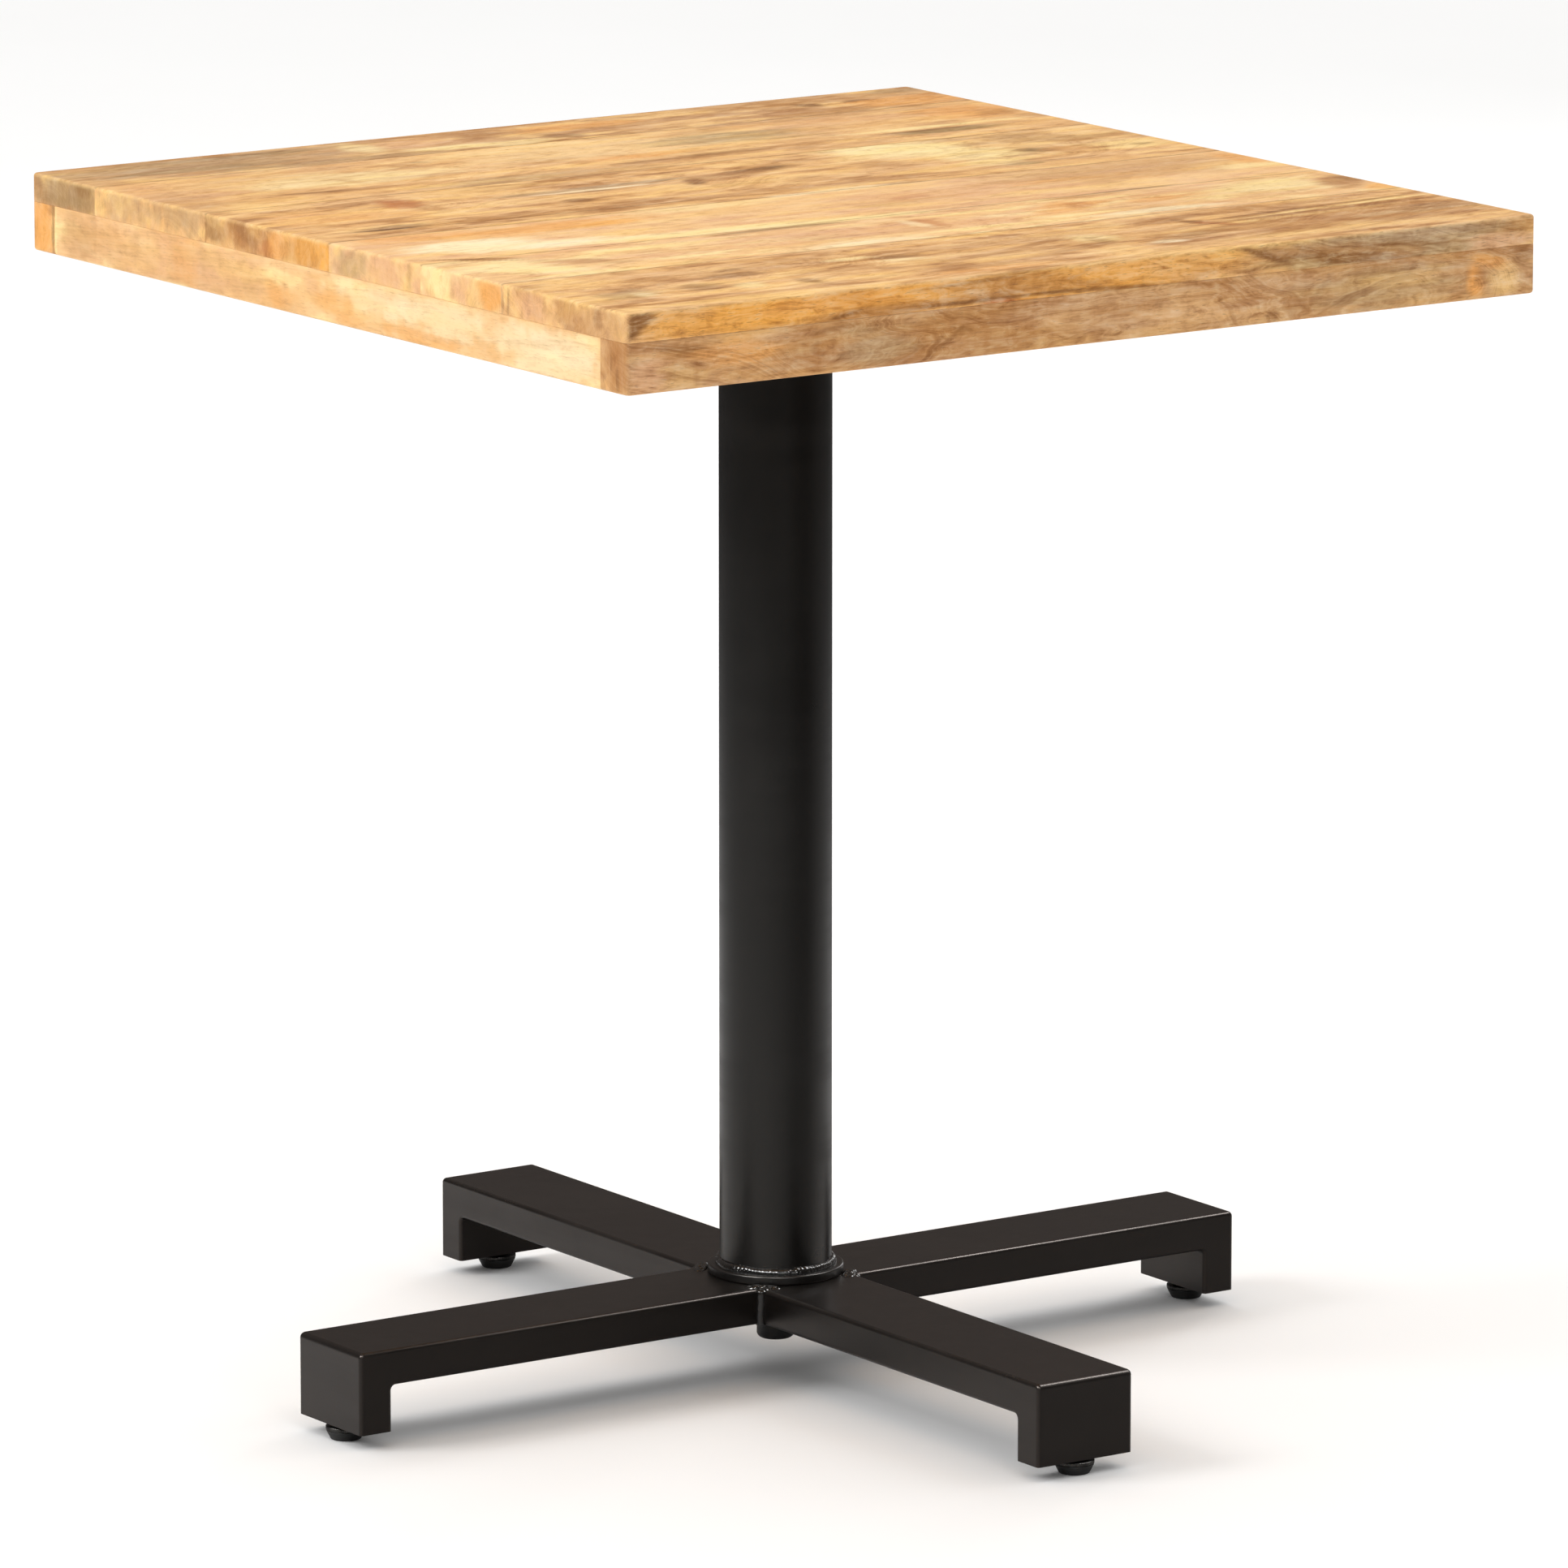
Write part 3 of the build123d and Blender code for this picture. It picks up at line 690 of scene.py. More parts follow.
BOARDS = [f"top_board_{n}" for n in range(1, 7)]
LOW, HIGH = cad_box
SPAN = HIGH.x - LOW.x
EDGE_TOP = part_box("top_board_1")[1].z
EDGE_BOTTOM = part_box("edge_strip_front")[0].z
EDGE_DEPTH = (EDGE_TOP - EDGE_BOTTOM) / MM

# How far past a piece a patch's middle may lie and still be painted on it.
TOP_REACH = 6 * MM
LEFT_REACH = 4 * MM

# Along and across the grain, in millimetres: cells of the noise that frays the patches' rims,
# of the noise that gathers the growth lines, and of the drift between a piece's tints.
TOP_FRAY = (28, 6)
FRONT_FRAY = (26, 5)
LEFT_FRAY = (9, 9)
FIGURE_CLUMP = (70, 30, 30)
DRIFT_ALONG = 42.0
DRIFT_ACROSS = 11.0
DRIFT_DOWN = 9.0

DRIFT_STRENGTH = 0.80
RING_WOBBLE = 24.0
KNOT_STRETCH = 1.5
FRONT_GRAIN_GAIN = 0.35
SEAM_DEPTH = 0.35
SEAM_SHADOW = (1.3, 0.3)
# Painted highlight and wear: how strongly, and over what width, the top's outer rim is lightened
# towards cream.
RIM_LIGHTENING = 0.18
RIM_WIDTH = (3.0, 1.0)


def paint(colour, along, across, patch, fray, seed):
    """Lays one patch over a colour: an ellipse with a frayed rim. The stronger it is, the
    cleaner its rim."""
    tint, centre_along, centre_across, half_length, half_width, strength, slope = patch
    du = along - centre_along
    dv = across - centre_across - slope * du
    near = (np.abs(du) < 2 * half_length) & (np.abs(dv) < 2 * half_width)
    if not near.any():
        return
    distance = np.hypot(du[near] / half_length, dv[near] / half_width)
    spots = np.stack([along[near], across[near]], axis=1)
    frayed = distance + (1.1 - 0.75 * strength) * fractal(spots, fray, seed)
    share = strength * smooth(frayed, 1.3, 0.45)[:, None]
    colour[near] = colour[near] * (1 - share) + np.array(TINTS[tint]) * share


def painted(colour, along, across, figure, depth, fray, here):
    """Lays a figure's patches over a base colour, where here says they are on this piece."""
    result = colour.copy()
    for number, patch in enumerate(figure):
        if here(patch):
            placed = (patch[0], patch[1] * SPAN / MM, patch[2] * depth, *patch[3:])
            paint(result, along, across, placed, fray, number)
    return result


def streaked(p, piece, drift, seed):
    """The base colour of a piece, drifting between its light and dark tints."""
    base, light, dark = (np.array(TINTS[tint]) for tint in TIMBER[piece][:3])
    flow = fractal(p, drift, seed)
    high = DRIFT_STRENGTH * smooth(flow, 0.02, 0.38)[:, None]
    low = DRIFT_STRENGTH * smooth(flow, -0.02, -0.38)[:, None]
    return base * (1 - high - low) + light * high + dark * low


def near_seam(name, y, low, high):
    """1 beside the joints between boards, and 0 elsewhere."""
    near = np.zeros(len(y))
    for edge in (low.y, high.y):
        if name in BOARDS and edge not in (LOW.y, HIGH.y):
            near = np.maximum(near, smooth(np.abs(y - edge / MM), *SEAM_SHADOW))
    return near


def timber_tone(name, p, normals, drift, seed):
    """The colour of one piece of wood at points p, in millimetres: its own streaks, the
    patches on its faces, dark seams and a light rim, partly wear and partly a painted highlight."""
    low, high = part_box(name)
    own = streaked(p, name, drift, seed)
    from_left = p[:, 0] - LOW.x / MM
    from_back = HIGH.y / MM - p[:, 1]
    down = EDGE_TOP / MM - p[:, 2]

    def on_board(patch):
        middle = HIGH.y - patch[2] * SPAN
        return name in BOARDS and low.y - TOP_REACH <= middle <= high.y + TOP_REACH

    def at_height(patch):
        return low.z <= EDGE_TOP - patch[2] * (EDGE_TOP - EDGE_BOTTOM) <= high.z

    def on_front(patch):
        return low.y == LOW.y and at_height(patch)

    def on_left(patch):
        middle = HIGH.y - patch[1] * SPAN
        near = low.y - LEFT_REACH <= middle <= high.y + LEFT_REACH
        return low.x == LOW.x and at_height(patch) and near

    top = painted(own, from_left, from_back, TOP_FIGURE, SPAN / MM, TOP_FRAY, on_board)
    front = painted(own, from_left, down, FRONT_FIGURE, EDGE_DEPTH, FRONT_FRAY, on_front)
    left = painted(own, from_back, down, LEFT_FIGURE, EDGE_DEPTH, LEFT_FRAY, on_left)
    faced = np.clip(normals * (-1, -1, 1), 0, 1) ** 4
    other = np.clip(1 - faced.sum(axis=1), 0, 1)
    shares = (*faced.T, other) / (faced.sum(axis=1) + other)
    tone = sum(share[:, None] * colour for share, colour in zip(shares, (left, front, top, own)))
    level = np.abs(normals[:, 2]) > 0.5
    seam = SEAM_DEPTH * near_seam(name, p[:, 1], low, high) * level
    tone = tone * (1 - seam)[:, None]
    # Painted highlight and wear: the top's outer rim is lightened towards cream, partly for wear and
    # partly for the light its rounded arris catches.
    rim = np.min([from_left, SPAN / MM - from_left, from_back, SPAN / MM - from_back], axis=0)
    rim_wear_and_highlight = RIM_LIGHTENING * smooth(rim + down, *RIM_WIDTH)[:, None]
    return tone * (1 - rim_wear_and_highlight) + np.array(TINTS["cream"]) * rim_wear_and_highlight


def timber_rings(name, p, a, drift, seed):
    """The distance of points p, in millimetres, from the heart of their tree, which the growth
    lines follow, in metres. a is the axis of the grain, from 0 to 1."""
    heart_height, heart_side, heart_drift = TIMBER[name][3:6]
    low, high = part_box(name)
    middle = np.array((low + high) / 2) / MM
    b = 1 - a
    wobble = RING_WOBBLE * fractal(p, [cell * 2 for cell in drift], seed + 5)
    lean = heart_drift * (p[:, a] - middle[a]) / (SPAN / MM / 2)
    side = p[:, b] - middle[b] - heart_side + wobble
    depth = p[:, 2] - middle[2] - heart_height + lean + 0.6 * wobble
    ring = np.hypot(side, depth)
    across = b if name in BOARDS else 2
    start, end = (low, high) if a == 0 else (high, low)
    for piece, along, offset, radius, push in KNOTS:
        if piece == name:
            place = (start[a] + along * (end[a] - start[a])) / MM
            sideways = p[:, across] - middle[across] - offset
            reach = np.hypot((p[:, a] - place) / KNOT_STRETCH, sideways) / radius
            ring -= push * np.exp(-reach**2)
    return ring * MM


def timber(name, over, under, corners, grain_axis):
    """One board or strip, shaped as timber_shape says, with its figure and grain."""
    low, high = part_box(name)
    points, faces = timber_shape(low, high, over, under, corners, grain_axis)
    material = (wood_along_x, wood_along_y)[grain_axis]
    mesh = add_piece(f"wood_{name}", (points, faces), material, name).data
    normals = np.zeros(len(mesh.vertices) * 3, np.float32)
    mesh.vertices.foreach_get("normal", normals)
    normals = normals.reshape(-1, 3)
    seed = 13 * list(TIMBER).index(name)
    drift = [DRIFT_ACROSS, DRIFT_ACROSS, DRIFT_DOWN]
    drift[grain_axis] = DRIFT_ALONG
    p = points / MM
    tone = timber_tone(name, p, normals, drift, seed)
    rgba = np.column_stack([tone, np.ones(len(tone))]).astype(np.float32)
    line_strength, fibre_strength = TIMBER[name][6:]
    front = np.clip(-normals[:, 1], 0, 1) ** 4
    values = {
        "ring": timber_rings(name, p, grain_axis, drift, seed),
        "end": np.abs(normals[:, grain_axis]) ** 4,
        "grain": fibre_strength * (1 + FRONT_GRAIN_GAIN * front),
        "figure": line_strength * smooth(fractal(p, FIGURE_CLUMP, seed + 9), -0.35, 0.15),
    }
    layer = mesh.attributes.new("tone", "FLOAT_COLOR", "POINT")
    layer.data.foreach_set("color", rgba.ravel())
    for attribute, numbers in values.items():
        layer = mesh.attributes.new(attribute, "FLOAT", "POINT")
        layer.data.foreach_set("value", numbers.astype(np.float32))


def wood_top():
    """The six boards and the four strips under their edges."""
    wide, seam = TOP_ROUND, SEAM_ROUND
    flush = (seam,) * 4
    middle_edges = (wide, wide, seam, seam)
    front_edges = (wide, wide, wide, seam)
    back_edges = (wide, wide, seam, wide)
    front_corners, back_corners = [(0, 2), (1, 2)], [(0, 3), (1, 3)]
    timber(BOARDS[0], back_edges, flush, back_corners, 0)
    for name in BOARDS[1:-1]:
        timber(name, middle_edges, flush, [], 0)
    timber(BOARDS[-1], front_edges, flush, front_corners, 0)
    timber("edge_strip_front", flush, front_edges, front_corners, 0)
    timber("edge_strip_back", flush, back_edges, back_corners, 0)
    timber("edge_strip_left", flush, (wide, seam, seam, seam), [], 1)
    timber("edge_strip_right", flush, (seam, wide, seam, seam), [], 1)


# --- Steel, fasteners and plastic -------------------------


def powder_coat(name, tint, start, arms=False):
    """Satin black powder coat: an orange-peel skin, cloudy sheen and a few dust specks, which
    are counted from a start. On the arms of the cross its edges are lighter and glossier, partly
    wear and partly a painted highlight."""
    g = Graph(name)
    here = g.place(start=start)
    peel = g.noise(here, 650.0, detail=2.0, roughness=0.5)
    haze = g.noise(here, 11.0, detail=5.0, roughness=0.6)
    wipe = g.noise(g.place((6, 6, 60), start), 1.0, detail=4.0)
    speck = g.remap(g.noise(here, 1300.0, detail=1.0), 0.70, 0.78)
    colour = g.mix(haze, (0.0024, 0.0020, 0.0018, 1), (0.0054, 0.0045, 0.0040, 1))
    colour = g.mix(g.times(speck, 0.20), colour, (0.03, 0.027, 0.025, 1))
    clouds = g.remap(haze, 0.3, 0.7, 0.27, 0.36)
    sheen = g.maths("ADD", clouds, g.remap(wipe, 0.4, 0.7, 0.0, 0.07))
    if arms:
        patchy = g.remap(g.noise(g.place(), 14.0, detail=5.0), 0.36, 0.62)
        # Painted highlight and wear: the arms' arrises are lightened a little, partly for wear from
        # rubbing and partly for the thin highlights they catch.
        edge_wear_and_highlight = g.times(arm_edges(g), patchy)
        colour = g.mix(g.times(edge_wear_and_highlight, 0.12), colour, (0.060, 0.053, 0.048, 1))
        sheen = g.maths("MULTIPLY_ADD", edge_wear_and_highlight, -0.03, sheen)
    g.surface(Base_Color=colour, Roughness=sheen, Specular_IOR_Level=0.42, Specular_Tint=tint)
    g.surface(Normal=g.bump(peel, 0.03 * MM, 0.5))
    return g.material


def arm_edges(g):
    """1 along the arrises of the cross's arms, and 0 elsewhere, from the arms' own sizes."""
    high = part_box("leg_right")[1]
    parts = g.add("ShaderNodeSeparateXYZ")
    g.put(parts.inputs[0], g.add("ShaderNodeTexCoord").outputs["Object"])
    x, y = (g.maths("ABSOLUTE", parts.outputs[axis]) for axis in ("X", "Y"))
    flank = g.maths("SUBTRACT", high.y, g.maths("MINIMUM", x, y))
    tip = g.maths("SUBTRACT", high.x, g.maths("MAXIMUM", x, y))
    roof = g.maths("SUBTRACT", high.z, parts.outputs["Z"])
    nearest = g.maths("MINIMUM", g.maths("ADD", flank, tip), g.maths("ADD", flank, roof))
    nearest = g.maths("MINIMUM", nearest, g.maths("ADD", tip, roof))
    return g.remap(nearest, 1.7 * MM, 0.6 * MM)


def weld_paint():
    """Glossy black paint over a rippled weld, a little darker where its ripples are low."""
    g = Graph("weld_paint")
    ripple = g.noise(g.place(), 380.0, detail=4.0, roughness=0.6)
    pits = g.remap(g.noise(g.place(), 900.0, detail=1.0), 0.66, 0.74)
    colour = g.mix(ripple, (0.006, 0.006, 0.006, 1), (0.016, 0.015, 0.014, 1))
    g.surface(Base_Color=colour, Roughness=g.remap(ripple, 0.3, 0.7, 0.07, 0.18))
    height = g.maths("MULTIPLY_ADD", pits, -0.6, ripple)
    g.surface(Normal=g.bump(height, 0.30 * MM, 0.8))
    return g.material


def plated_steel(name, low, high, roughness):
    """Plated fastener steel, with turning marks and stains."""
    g = Graph(name)
    turning = g.noise(g.place((200, 200, 2600)), 1.0, detail=2.0)
    stain = g.noise(g.place(), 160.0, detail=4.0)
    g.surface(Base_Color=g.mix(g.remap(stain, 0.3, 0.7), low, high), Metallic=1.0)
    g.surface(Roughness=g.remap(stain, 0.3, 0.7, roughness, roughness + 0.16))
    g.surface(Normal=g.bump(turning, 0.02 * MM, 0.6))
    return g.material


def black_plastic():
    """Matt moulded plastic with a fine grain and faint scuffs."""
    g = Graph("moulded_plastic")
    grain = g.noise(g.place(), 1500.0, detail=2.0)
    scuff = g.noise(g.place((90, 90, 400)), 1.0, detail=4.0)
    g.surface(Base_Color=g.mix(scuff, (0.007, 0.007, 0.007, 1), (0.020, 0.019, 0.018, 1)))
    g.surface(Roughness=g.remap(scuff, 0.3, 0.7, 0.45, 0.62), Specular_IOR_Level=0.4)
    g.surface(Normal=g.bump(grain, 0.04 * MM, 0.6))
    return g.material


coat = powder_coat("powder_coat", (1.0, 0.97, 0.93, 1), (3.37, 5.61, 7.23))
arm_coat = powder_coat("powder_coat_arms", (1.0, 0.87, 0.80, 1), (0.0, 0.0, 0.0), arms=True)
weld = weld_paint()
zinc = plated_steel("plated_zinc", (0.34, 0.34, 0.35, 1), (0.56, 0.55, 0.52, 1), 0.26)
blackened = plated_steel("blackened_steel", (0.035, 0.034, 0.033, 1), (0.10, 0.096, 0.09, 1), 0.30)
plastic = black_plastic()
CAD_MATERIALS = {
    "black_steel": coat, "weld_bead": weld, "zinc_fastener": zinc, "black_plastic": plastic,
}


def dress_cad_nodes():
    """Gives each CAD node that stays in view its finish."""
    for name, slot in SLOTS.items():
        if slot in CAD_MATERIALS:
            is_arm = name.startswith(("leg_", "long_beam", "short_beam"))
            mesh = frame["nodes"][name].data
            mesh.materials.clear()
            mesh.materials.append(arm_coat if is_arm else CAD_MATERIALS[slot])


# --- Column -----------------------------------------------

# Sizes from here to the feet are in millimetres.
TUBE_WALL = 2.0
COLUMN_SEGMENTS = 180
COLUMN_ROWS = 34
COLLAR_BORE = 6.5
COLLAR_EDGE = 1.5
RING_WELD_SEGMENTS = 900
RIPPLE_PITCH = 2.6
BEAD_RADIUS = 3.5
BEAD_ROWS = 60
BEAD_SEGMENTS = 28
PUDDLE_INSET = 2.0
PUDDLE_REACH = 4.4
PUDDLE_STRETCH = 7.0
PUDDLE_ROWS = 20
PUDDLE_SEGMENTS = 96
ROUND_SEGMENTS = 96
CAP_WALL = 1.4
CAP_EDGE = 3.5
CAP_LIP = 0.3
WASHER_BORE = 6.0
WASHER_EDGE = 0.35


def size_mm(node):
    """How far a CAD node reaches along +X, down and up, in millimetres."""
    low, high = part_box(node)
    return high.x / MM, low.z / MM, high.z / MM


def block(inner, outer, bottom, top):
    """The outline of a plain ring, ready to be rounded."""
    return [(inner, bottom), (outer, bottom), (outer, top), (inner, top)]


def column():
    """The round tube and the flange at its foot."""
    radius, bottom, top = size_mm("column_tube")
    heights = np.linspace(bottom, top, COLUMN_ROWS)
    wall = [(radius, h) for h in heights] + [(radius - TUBE_WALL, h) for h in heights[::-1]]
    add_piece("column_shaft", lathe_ring(wall, COLUMN_SEGMENTS), coat, "column_tube")
    outline = block(COLLAR_BORE, *size_mm("column_collar"))
    flange = lathe_ring(rounded(outline, COLLAR_EDGE, steps=5), COLUMN_SEGMENTS)
    add_piece("column_flange", flange, coat, "column_collar")


def weld_ripple(distance, seed):
    """The swell of a weld along its length: overlapping pools, a little uneven."""
    spots = np.stack([distance, np.full_like(distance, seed * 7.7)], axis=1)
    walk = distance + 1.3 * noise(spots / 6.0, seed)
    pool = np.abs(np.sin(math.pi * walk / RIPPLE_PITCH))
    coarse = noise(spots / 9.0, seed + 1)
    fine = noise(spots / 2.2, seed + 2)
    return 0.42 * pool**0.7 + 0.75 * coarse + 0.35 * fine


def ring_weld(name, node, seat, away, seed):
    """The weld round the column on a flat face at height seat, rising towards away."""
    radius = size_mm("column_tube")[0]
    leg = size_mm(node)[0] - radius
    angles = all_round(RING_WELD_SEGMENTS)
    along = angles * radius
    swell = weld_ripple(along, seed)
    before_start = weld_ripple(along - 2 * math.pi * radius, seed)
    swell = swell + (before_start - swell) * smooth(angles, 6.0, 6.28)
    spread = 0.9 * noise(np.stack([along / 14.0, np.zeros(len(angles))], 1), seed + 4)
    turn = np.linspace(0, math.pi / 2, 10)
    rows = []
    for angle, rise, lean in zip(angles, swell, spread):
        size = 0.86 * leg + 0.55 * rise
        out = 0.92 * size + 0.5 * lean + 0.4
        up = 1.15 * size - 0.4 * lean + 0.4
        fullness = 0.80 + 0.10 * rise
        radii = np.append(radius - 0.4 + out * np.cos(turn) ** fullness, radius - 0.8)
        heights = np.append(up * np.sin(turn) ** fullness - 0.4, -0.4)
        rows.append(circle(0, 0, radii, angle, seat + away * heights))
    faces = quad_faces(len(rows), len(rows[0]), ring=True)
    if away < 0:
        faces = [face[::-1] for face in faces]
    add_piece(name, (np.concatenate(rows) * MM, faces), weld, node)


def weld_puddle(x, y, face, seed):
    """The lumpy end of a corner bead, drawn out on the arms' upper faces beside the flange."""
    angles = all_round(PUDDLE_SEGMENTS)
    ring = np.stack([np.cos(angles), np.sin(angles)], 1)
    beside = ring @ np.array([-y, x]) / math.hypot(x, y)
    ragged = 2.0 * noise(ring * 1.7 + 9.1 * seed, seed)
    reach = PUDDLE_REACH + PUDDLE_STRETCH * beside**4 + ragged
    rows = []
    for share in np.linspace(1.0, 0.03, PUDDLE_ROWS):
        radii = share * reach
        lumps = noise(ring * radii[:, None] / 2.0 + 5.0, seed + 3)
        height = (1.5 + 0.9 * lumps) * np.sqrt(1 - share**2) - 0.25 * share**6
        rows.append(circle(x, y, radii, angles, face + height))
    return np.concatenate(rows) * MM, capped_faces(PUDDLE_ROWS, PUDDLE_SEGMENTS)


def corner_welds():
    """The upright beads in the four inner corners of the cross."""
    _, bottom, top = size_mm("cross_welds")
    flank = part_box("long_beam")[1].y / MM
    face = size_mm("long_beam")[2]
    heights = np.linspace(bottom, top - 0.2, BEAD_ROWS)
    angles = all_round(BEAD_SEGMENTS)
    below_end = heights[-1] - heights
    end = np.sqrt(np.clip(below_end / 2.2, 0.02, 1))
    flare = 1.2 * smooth(below_end, 4.0, 1.0)
    parts = []
    for number, (x_side, y_side) in enumerate(itertools.product((-1, 1), repeat=2)):
        spots = np.stack([heights / 9.0, np.full(BEAD_ROWS, 3.0 * number)], 1)
        sway = 0.2 * noise(spots, 31)
        radii = (BEAD_RADIUS + 0.10 * weld_ripple(heights, 20 + number) + flare) * end
        rows = zip((flank + sway) * x_side, (flank - sway) * y_side, radii, heights)
        verts = [circle(x, y, radius, angles, height) for x, y, radius, height in rows]
        parts.append((np.concatenate(verts) * MM, capped_faces(BEAD_ROWS, BEAD_SEGMENTS)))
        corner = flank - PUDDLE_INSET
        parts.append(weld_puddle(corner * x_side, corner * y_side, face, 70 + number))
    add_piece("cross_corner_beads", joined(parts), weld, "cross_welds")


def stud_cap():
    """The round cap over the stud's nut, and the washer above it."""
    r, bottom, top = size_mm("stud_nut_cap")
    inside, roof = r - CAP_WALL, bottom + CAP_EDGE
    turn = np.linspace(0, math.pi / 2, 9)
    arc = [(r - CAP_EDGE * (1 - math.sin(t)), roof - CAP_EDGE * math.cos(t)) for t in turn]
    outline = [(0, bottom), (0.5 * r, bottom)] + arc
    outline += [(r, top - CAP_LIP), (r - CAP_LIP, top), (inside, top), (inside, roof), (0, roof)]
    add_piece("nut_cover", lathe(outline, ROUND_SEGMENTS), plastic, "stud_nut_cap")
    outline = block(WASHER_BORE, *size_mm("stud_washer"))
    washer = lathe_ring(rounded(outline, WASHER_EDGE), ROUND_SEGMENTS)
    add_piece("nut_washer", washer, blackened, "stud_washer")


# --- Wood screws ------------------------------------------

SCREW_HEAD_RADIUS = 4.75
SCREW_HEAD_HEIGHT = 3.0
SCREW_SHANK_RADIUS = 2.5
SCREW_OFFSET = 122.0
RECESS_DEPTH = 1.7


def screw_head(x, y, face, turn):
    """A domed head under the plate, with a cross recess. face is the plate's underside."""
    angles = all_round(ROUND_SEGMENTS)
    to_slot = np.minimum(np.abs(np.cos(angles)), np.abs(np.sin(angles)))
    rows = []
    for share in [*np.linspace(0.02, 0.9, 17), 0.94, 0.97, 0.985, 0.995, 1.0]:
        radius = share * SCREW_HEAD_RADIUS
        dome = SCREW_HEAD_HEIGHT * (1 - share**4) ** 0.5 * (0.82 + 0.18 * (1 - share**2))
        recess = smooth(radius * to_slot, 0.62, 0.40) * smooth(radius, 2.6, 1.9) * RECESS_DEPTH
        rows.append(circle(x, y, radius, angles + turn, face - np.maximum(dome - recess, 0.0)))
    rows.append(circle(x, y, SCREW_SHANK_RADIUS, angles, face + 3.0))
    return np.concatenate(rows) * MM, capped_faces(len(rows), ROUND_SEGMENTS)


def wood_screws():
    """The ring of eight screws that hold the plate to the boards."""
    face = size_mm("mounting_plate")[1]
    steps = (-SCREW_OFFSET, 0.0, SCREW_OFFSET)
    places = [(x, y) for x in steps for y in steps if (x, y) != (0.0, 0.0)]
    heads = [screw_head(x, y, face, 0.7 * number) for number, (x, y) in enumerate(places)]
    add_piece("top_fixing_screws", joined(heads), zinc, "plate_screws")


# --- Levelling feet ---------------------------------------

THREAD_PITCH = 1.25
THREAD_DEPTH = 0.68
THREAD_START = 8.8
KNURLS = 60
KNURL_DEPTH = 0.28
SCREW_OUTLINE = [
    (0, 2.6), (5.2, 2.6), (5.5, 2.9), (5.5, 4.3), (5.2, 4.6), (3.5, 4.6), (3.5, 6.1),
    (11.9, 6.1), (12.3, 6.25), (12.5, 6.5), (12.5, 7.3), (12.5, 8.1), (12.3, 8.35),
    (11.9, 8.5), (4.6, 8.5), (4.1, 8.6),
]
PAD_OUTLINE = [
    (0, 0.0), (4.0, 0.0), (8.9, 0.0), (9.3, 0.12), (9.65, 0.45), (9.85, 0.9), (11.0, 3.1),
    (11.9, 4.9), (12.12, 5.25), (12.2, 5.5), (12.15, 5.8), (11.9, 6.0), (8.0, 6.0), (3.9, 6.0),
    (3.6, 5.9), (3.56, 4.66), (5.55, 4.65), (5.55, 2.55), (0, 2.55),
]


def threaded(radius, height, angles):
    """Radii of a row of the screw: a knurled flange rim, and a right-hand thread above it."""
    if radius > 12.2:
        groove = 0.5 - 0.5 * np.cos(KNURLS * angles)
        return radius - KNURL_DEPTH * groove**2
    if height > 8.7 and radius > 3.5:
        turn = (height / THREAD_PITCH - angles / (2 * math.pi)) % 1.0
        flank = np.clip(2.4 * np.abs(turn - 0.5) - 0.1, 0, 1)
        return radius - THREAD_DEPTH * flank
    return radius


def levelling_foot(side):
    """One foot: the screw with its thumb flange, and the pad that it turns in."""
    low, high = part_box(f"foot_pad_{side}")
    x, y, _ = (place / MM for place in (low + high) / 2)
    top = size_mm(f"foot_screw_{side}")[2]
    shank = [(3.98, h) for h in np.arange(THREAD_START, top - 0.8, 0.16)]
    outline = SCREW_OUTLINE + shank + [(3.3, top - 0.4), (3.0, top), (0, top)]
    screw = lathe(outline, 240, x, y, threaded)
    add_piece(f"thumb_screw_{side}", screw, blackened, f"foot_screw_{side}", f"screw_{side}")
    pad = lathe(PAD_OUTLINE, 120, x, y)
    add_piece(f"glide_{side}", pad, plastic, f"foot_pad_{side}", f"pad_{side}")


dress_cad_nodes()
wood_top()
column()
ring_weld("flange_bead", "column_foot_weld", size_mm("column_collar")[2], 1, 41)
ring_weld("plate_bead", "column_top_weld", size_mm("mounting_plate")[1], -1, 57)
corner_welds()
stud_cap()
wood_screws()
for side in SIDES:
    levelling_foot(side)


# --- Stage ------------------------------------------------

VIEW_AZIMUTH = math.radians(-34.53)
VIEW_ELEVATION = math.radians(11.46)
VIEW_DISTANCE = 7.607
VIEW_LENS = 278.5
VIEW_SHIFT = (5.3 * MM, 0.55 * MM)

LEVEL = math.cos(VIEW_ELEVATION)
RIGHT = Vector((math.cos(VIEW_AZIMUTH), math.sin(VIEW_AZIMUTH), 0))
FRONT = Vector((math.sin(VIEW_AZIMUTH), -math.cos(VIEW_AZIMUTH), 0))
TO_CAMERA = FRONT * LEVEL + Vector((0, 0, math.sin(VIEW_ELEVATION)))

FLOOR_HALF = 14.0
# The floor's two bright sides in reflections, and the room's glows, each as (direction, where
# it starts, where it is full, strength); the second and third are cosines.
FLOOR_WINDOWS = [((-0.94, 0.34, 0), -0.7, 0.9, 0.53), ((0.99, -0.17, 0), 0.70, 0.98, 0.50)]
ROOM_GLOW = 0.12
ROOM_GLOWS = [
    (-TO_CAMERA, -0.2, 0.6, 0.60),
    ((0, 0, 1), 0.45, 0.85, 1.22),
    ((0.8, -0.35, 0.3), 0.86, 0.97, 0.7),
]
ROOM_COLOUR = (1.0, 0.995, 0.985, 1.0)
SHEEN_COLOUR = (0.205, 0.172, 0.155, 1.0)


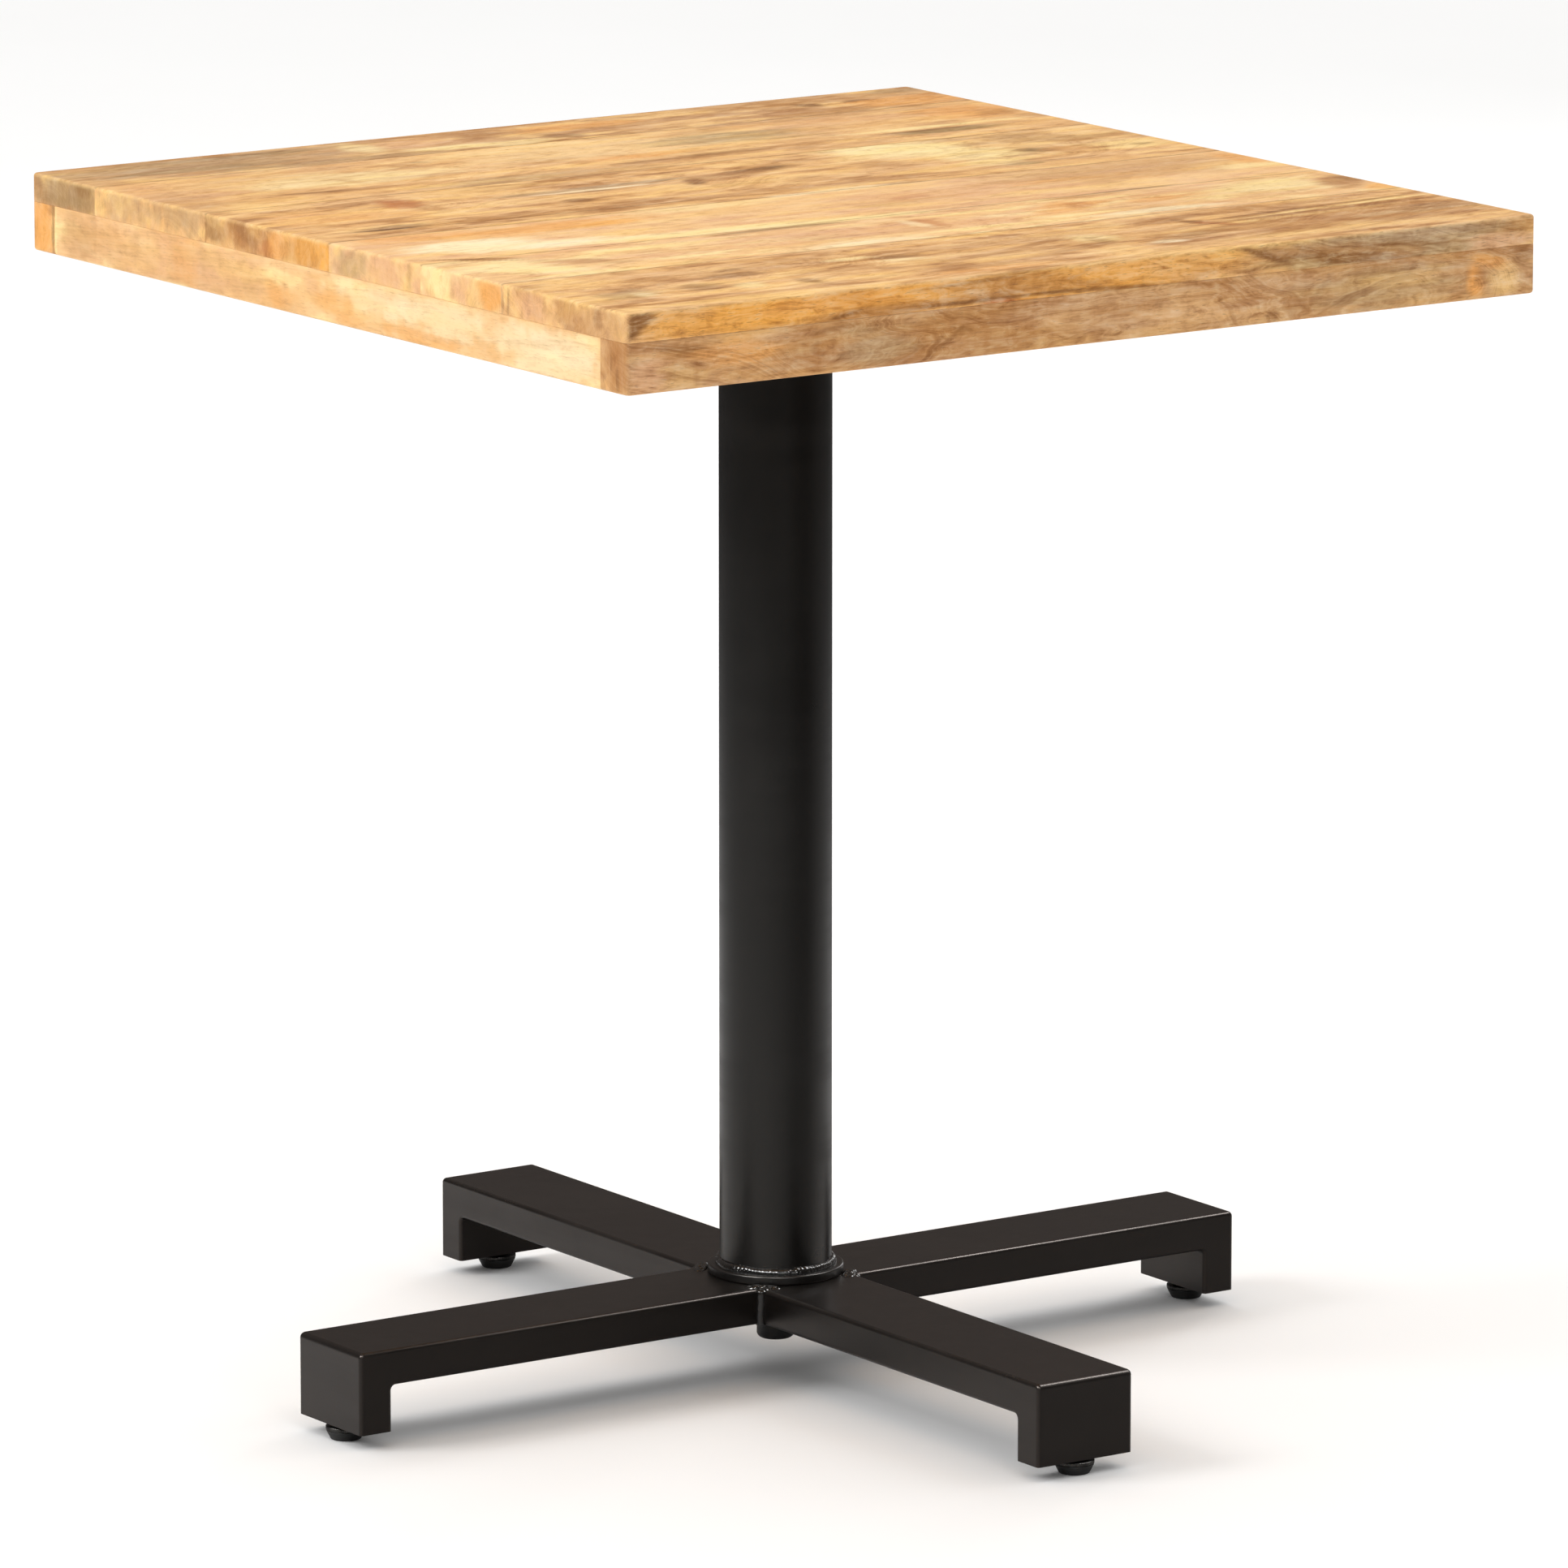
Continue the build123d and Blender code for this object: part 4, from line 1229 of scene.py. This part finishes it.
def floor():
    """A wide pale floor, unseen from below. In reflections it darkens with distance, and it
    is brightest to the table's left and a little to its right, as if it had two windows."""
    g = Graph("studio_floor")
    pale = g.mix(g.noise(g.place(), 3.0), (0.94, 0.94, 0.94, 1), (0.96, 0.96, 0.96, 1))
    geometry = g.add("ShaderNodeNewGeometry").outputs
    lit = 0.32
    for direction, *range_and_share in FLOOR_WINDOWS:
        window = g.glow(geometry["Incoming"], -Vector(direction), *range_and_share)
        lit = g.maths("ADD", window, lit)
    distance = g.add("ShaderNodeVectorMath", operation="LENGTH")
    g.put(distance.inputs[0], g.place())
    near = g.remap(distance.outputs["Value"], 0.4, 3.1, 1.0, 0.06)
    reflected = g.mix(1.0, (1, 1, 1, 1), g.times(lit, near), blend="MULTIPLY")
    ray = g.add("ShaderNodeLightPath").outputs
    from_below = g.times(geometry["Backfacing"], ray["Is Camera Ray"])
    g.surface(Base_Color=g.mix(ray["Is Glossy Ray"], pale, reflected))
    g.surface(Alpha=g.maths("SUBTRACT", 1.0, from_below), Roughness=0.7, Specular_IOR_Level=0.2)
    half = FLOOR_HALF
    corners = [(-half, -half, 0), (half, -half, 0), (half, half, 0), (-half, half, 0)]
    mesh = make_mesh("studio_floor", corners, [(0, 1, 2, 3)])
    mesh.materials.append(g.material)
    put_in_scene("studio_floor", mesh)


def aim(obj, place, target):
    obj.location = place
    obj.rotation_mode = "QUATERNION"
    obj.rotation_quaternion = (Vector(target) - Vector(place)).to_track_quat("-Z", "Y")


def steel_pieces():
    """A collection of everything on the table that isn't wood."""
    pieces = bpy.data.collections.new("steel_pieces")
    for obj in bpy.context.scene.objects:
        if obj.type == "MESH" and not obj.name.startswith(("wood_", "studio_")):
            pieces.objects.link(obj)
    return pieces


def softbox(name, place, target, width, height, power, glossy=True, glints_on=None):
    """A rectangular studio light. One that isn't glossy makes no glints; one with glints_on
    makes nothing but glints, on those pieces only."""
    data = bpy.data.lights.new(name, "AREA")
    data.shape = "RECTANGLE"
    data.size = width
    data.size_y = height
    data.energy = power
    lamp = put_in_scene(name, data)
    lamp.visible_glossy = glossy
    if glints_on:
        lamp.visible_diffuse = False
        lamp.light_linking.receiver_collection = glints_on
    aim(lamp, place, target)


def studio_room():
    """The room round the table: brighter behind it, overhead and to its right, and dim behind
    the camera. Reflections of it are darker and warmer."""
    world = bpy.data.worlds.new("studio")
    bpy.context.scene.world = world
    world.use_nodes = True
    g = Nodes(world.node_tree)
    outward = g.add("ShaderNodeTexCoord").outputs["Generated"]
    strength = ROOM_GLOW
    for direction, *range_and_strength in ROOM_GLOWS:
        glow = g.glow(outward, Vector(direction).normalized(), *range_and_strength)
        strength = g.maths("ADD", glow, strength)
    in_reflections = g.add("ShaderNodeLightPath").outputs["Is Glossy Ray"]
    colour = g.mix(in_reflections, ROOM_COLOUR, SHEEN_COLOUR)
    light = g.feed(g.add("ShaderNodeBackground"), Color=colour, Strength=strength)
    g.put(g.add("ShaderNodeOutputWorld").inputs["Surface"], light)


def studio_camera():
    """A long lens from the front left, a little above the top."""
    data = bpy.data.cameras.new("camera")
    data.lens = VIEW_LENS
    data.sensor_width = 36.0
    data.clip_end = 100.0
    camera = put_in_scene("camera", data)
    up = TO_CAMERA.cross(RIGHT)
    middle = Vector((0, 0, (LOW.z + HIGH.z) / 2)) + RIGHT * VIEW_SHIFT[0] + up * VIEW_SHIFT[1]
    aim(camera, middle + TO_CAMERA * VIEW_DISTANCE, middle)
    bpy.context.scene.camera = camera


floor()
studio_room()
steel = steel_pieces()
softbox("key_left", (-4.2, 1.6, 3.3), (0, 0, 0.5), 2.2, 2.2, 120, glossy=False)
softbox("glint_left", (-2.9, -0.4, 2.75), (0, 0, 0.1), 1.8, 1.2, 240, glints_on=steel)
softbox("glint_right", (2.25, -0.8, 2.85), (0, 0, 0.1), 0.7, 1.2, 90, glints_on=steel)
softbox("glint_front", (-2.0, -3.0, 3.4), (0, 0, 0.1), 0.4, 0.4, 130, glints_on=steel)
softbox("fill_front", (-1.5, -6.0, 2.5), (0, 0, 0.5), 2.0, 2.0, 45)
softbox("rim_right", (4.5, 2.4, 1.6), (0, 0, 0.4), 0.8, 2.4, 30)
studio_camera()
bpy.context.scene.view_settings.view_transform = "Standard"
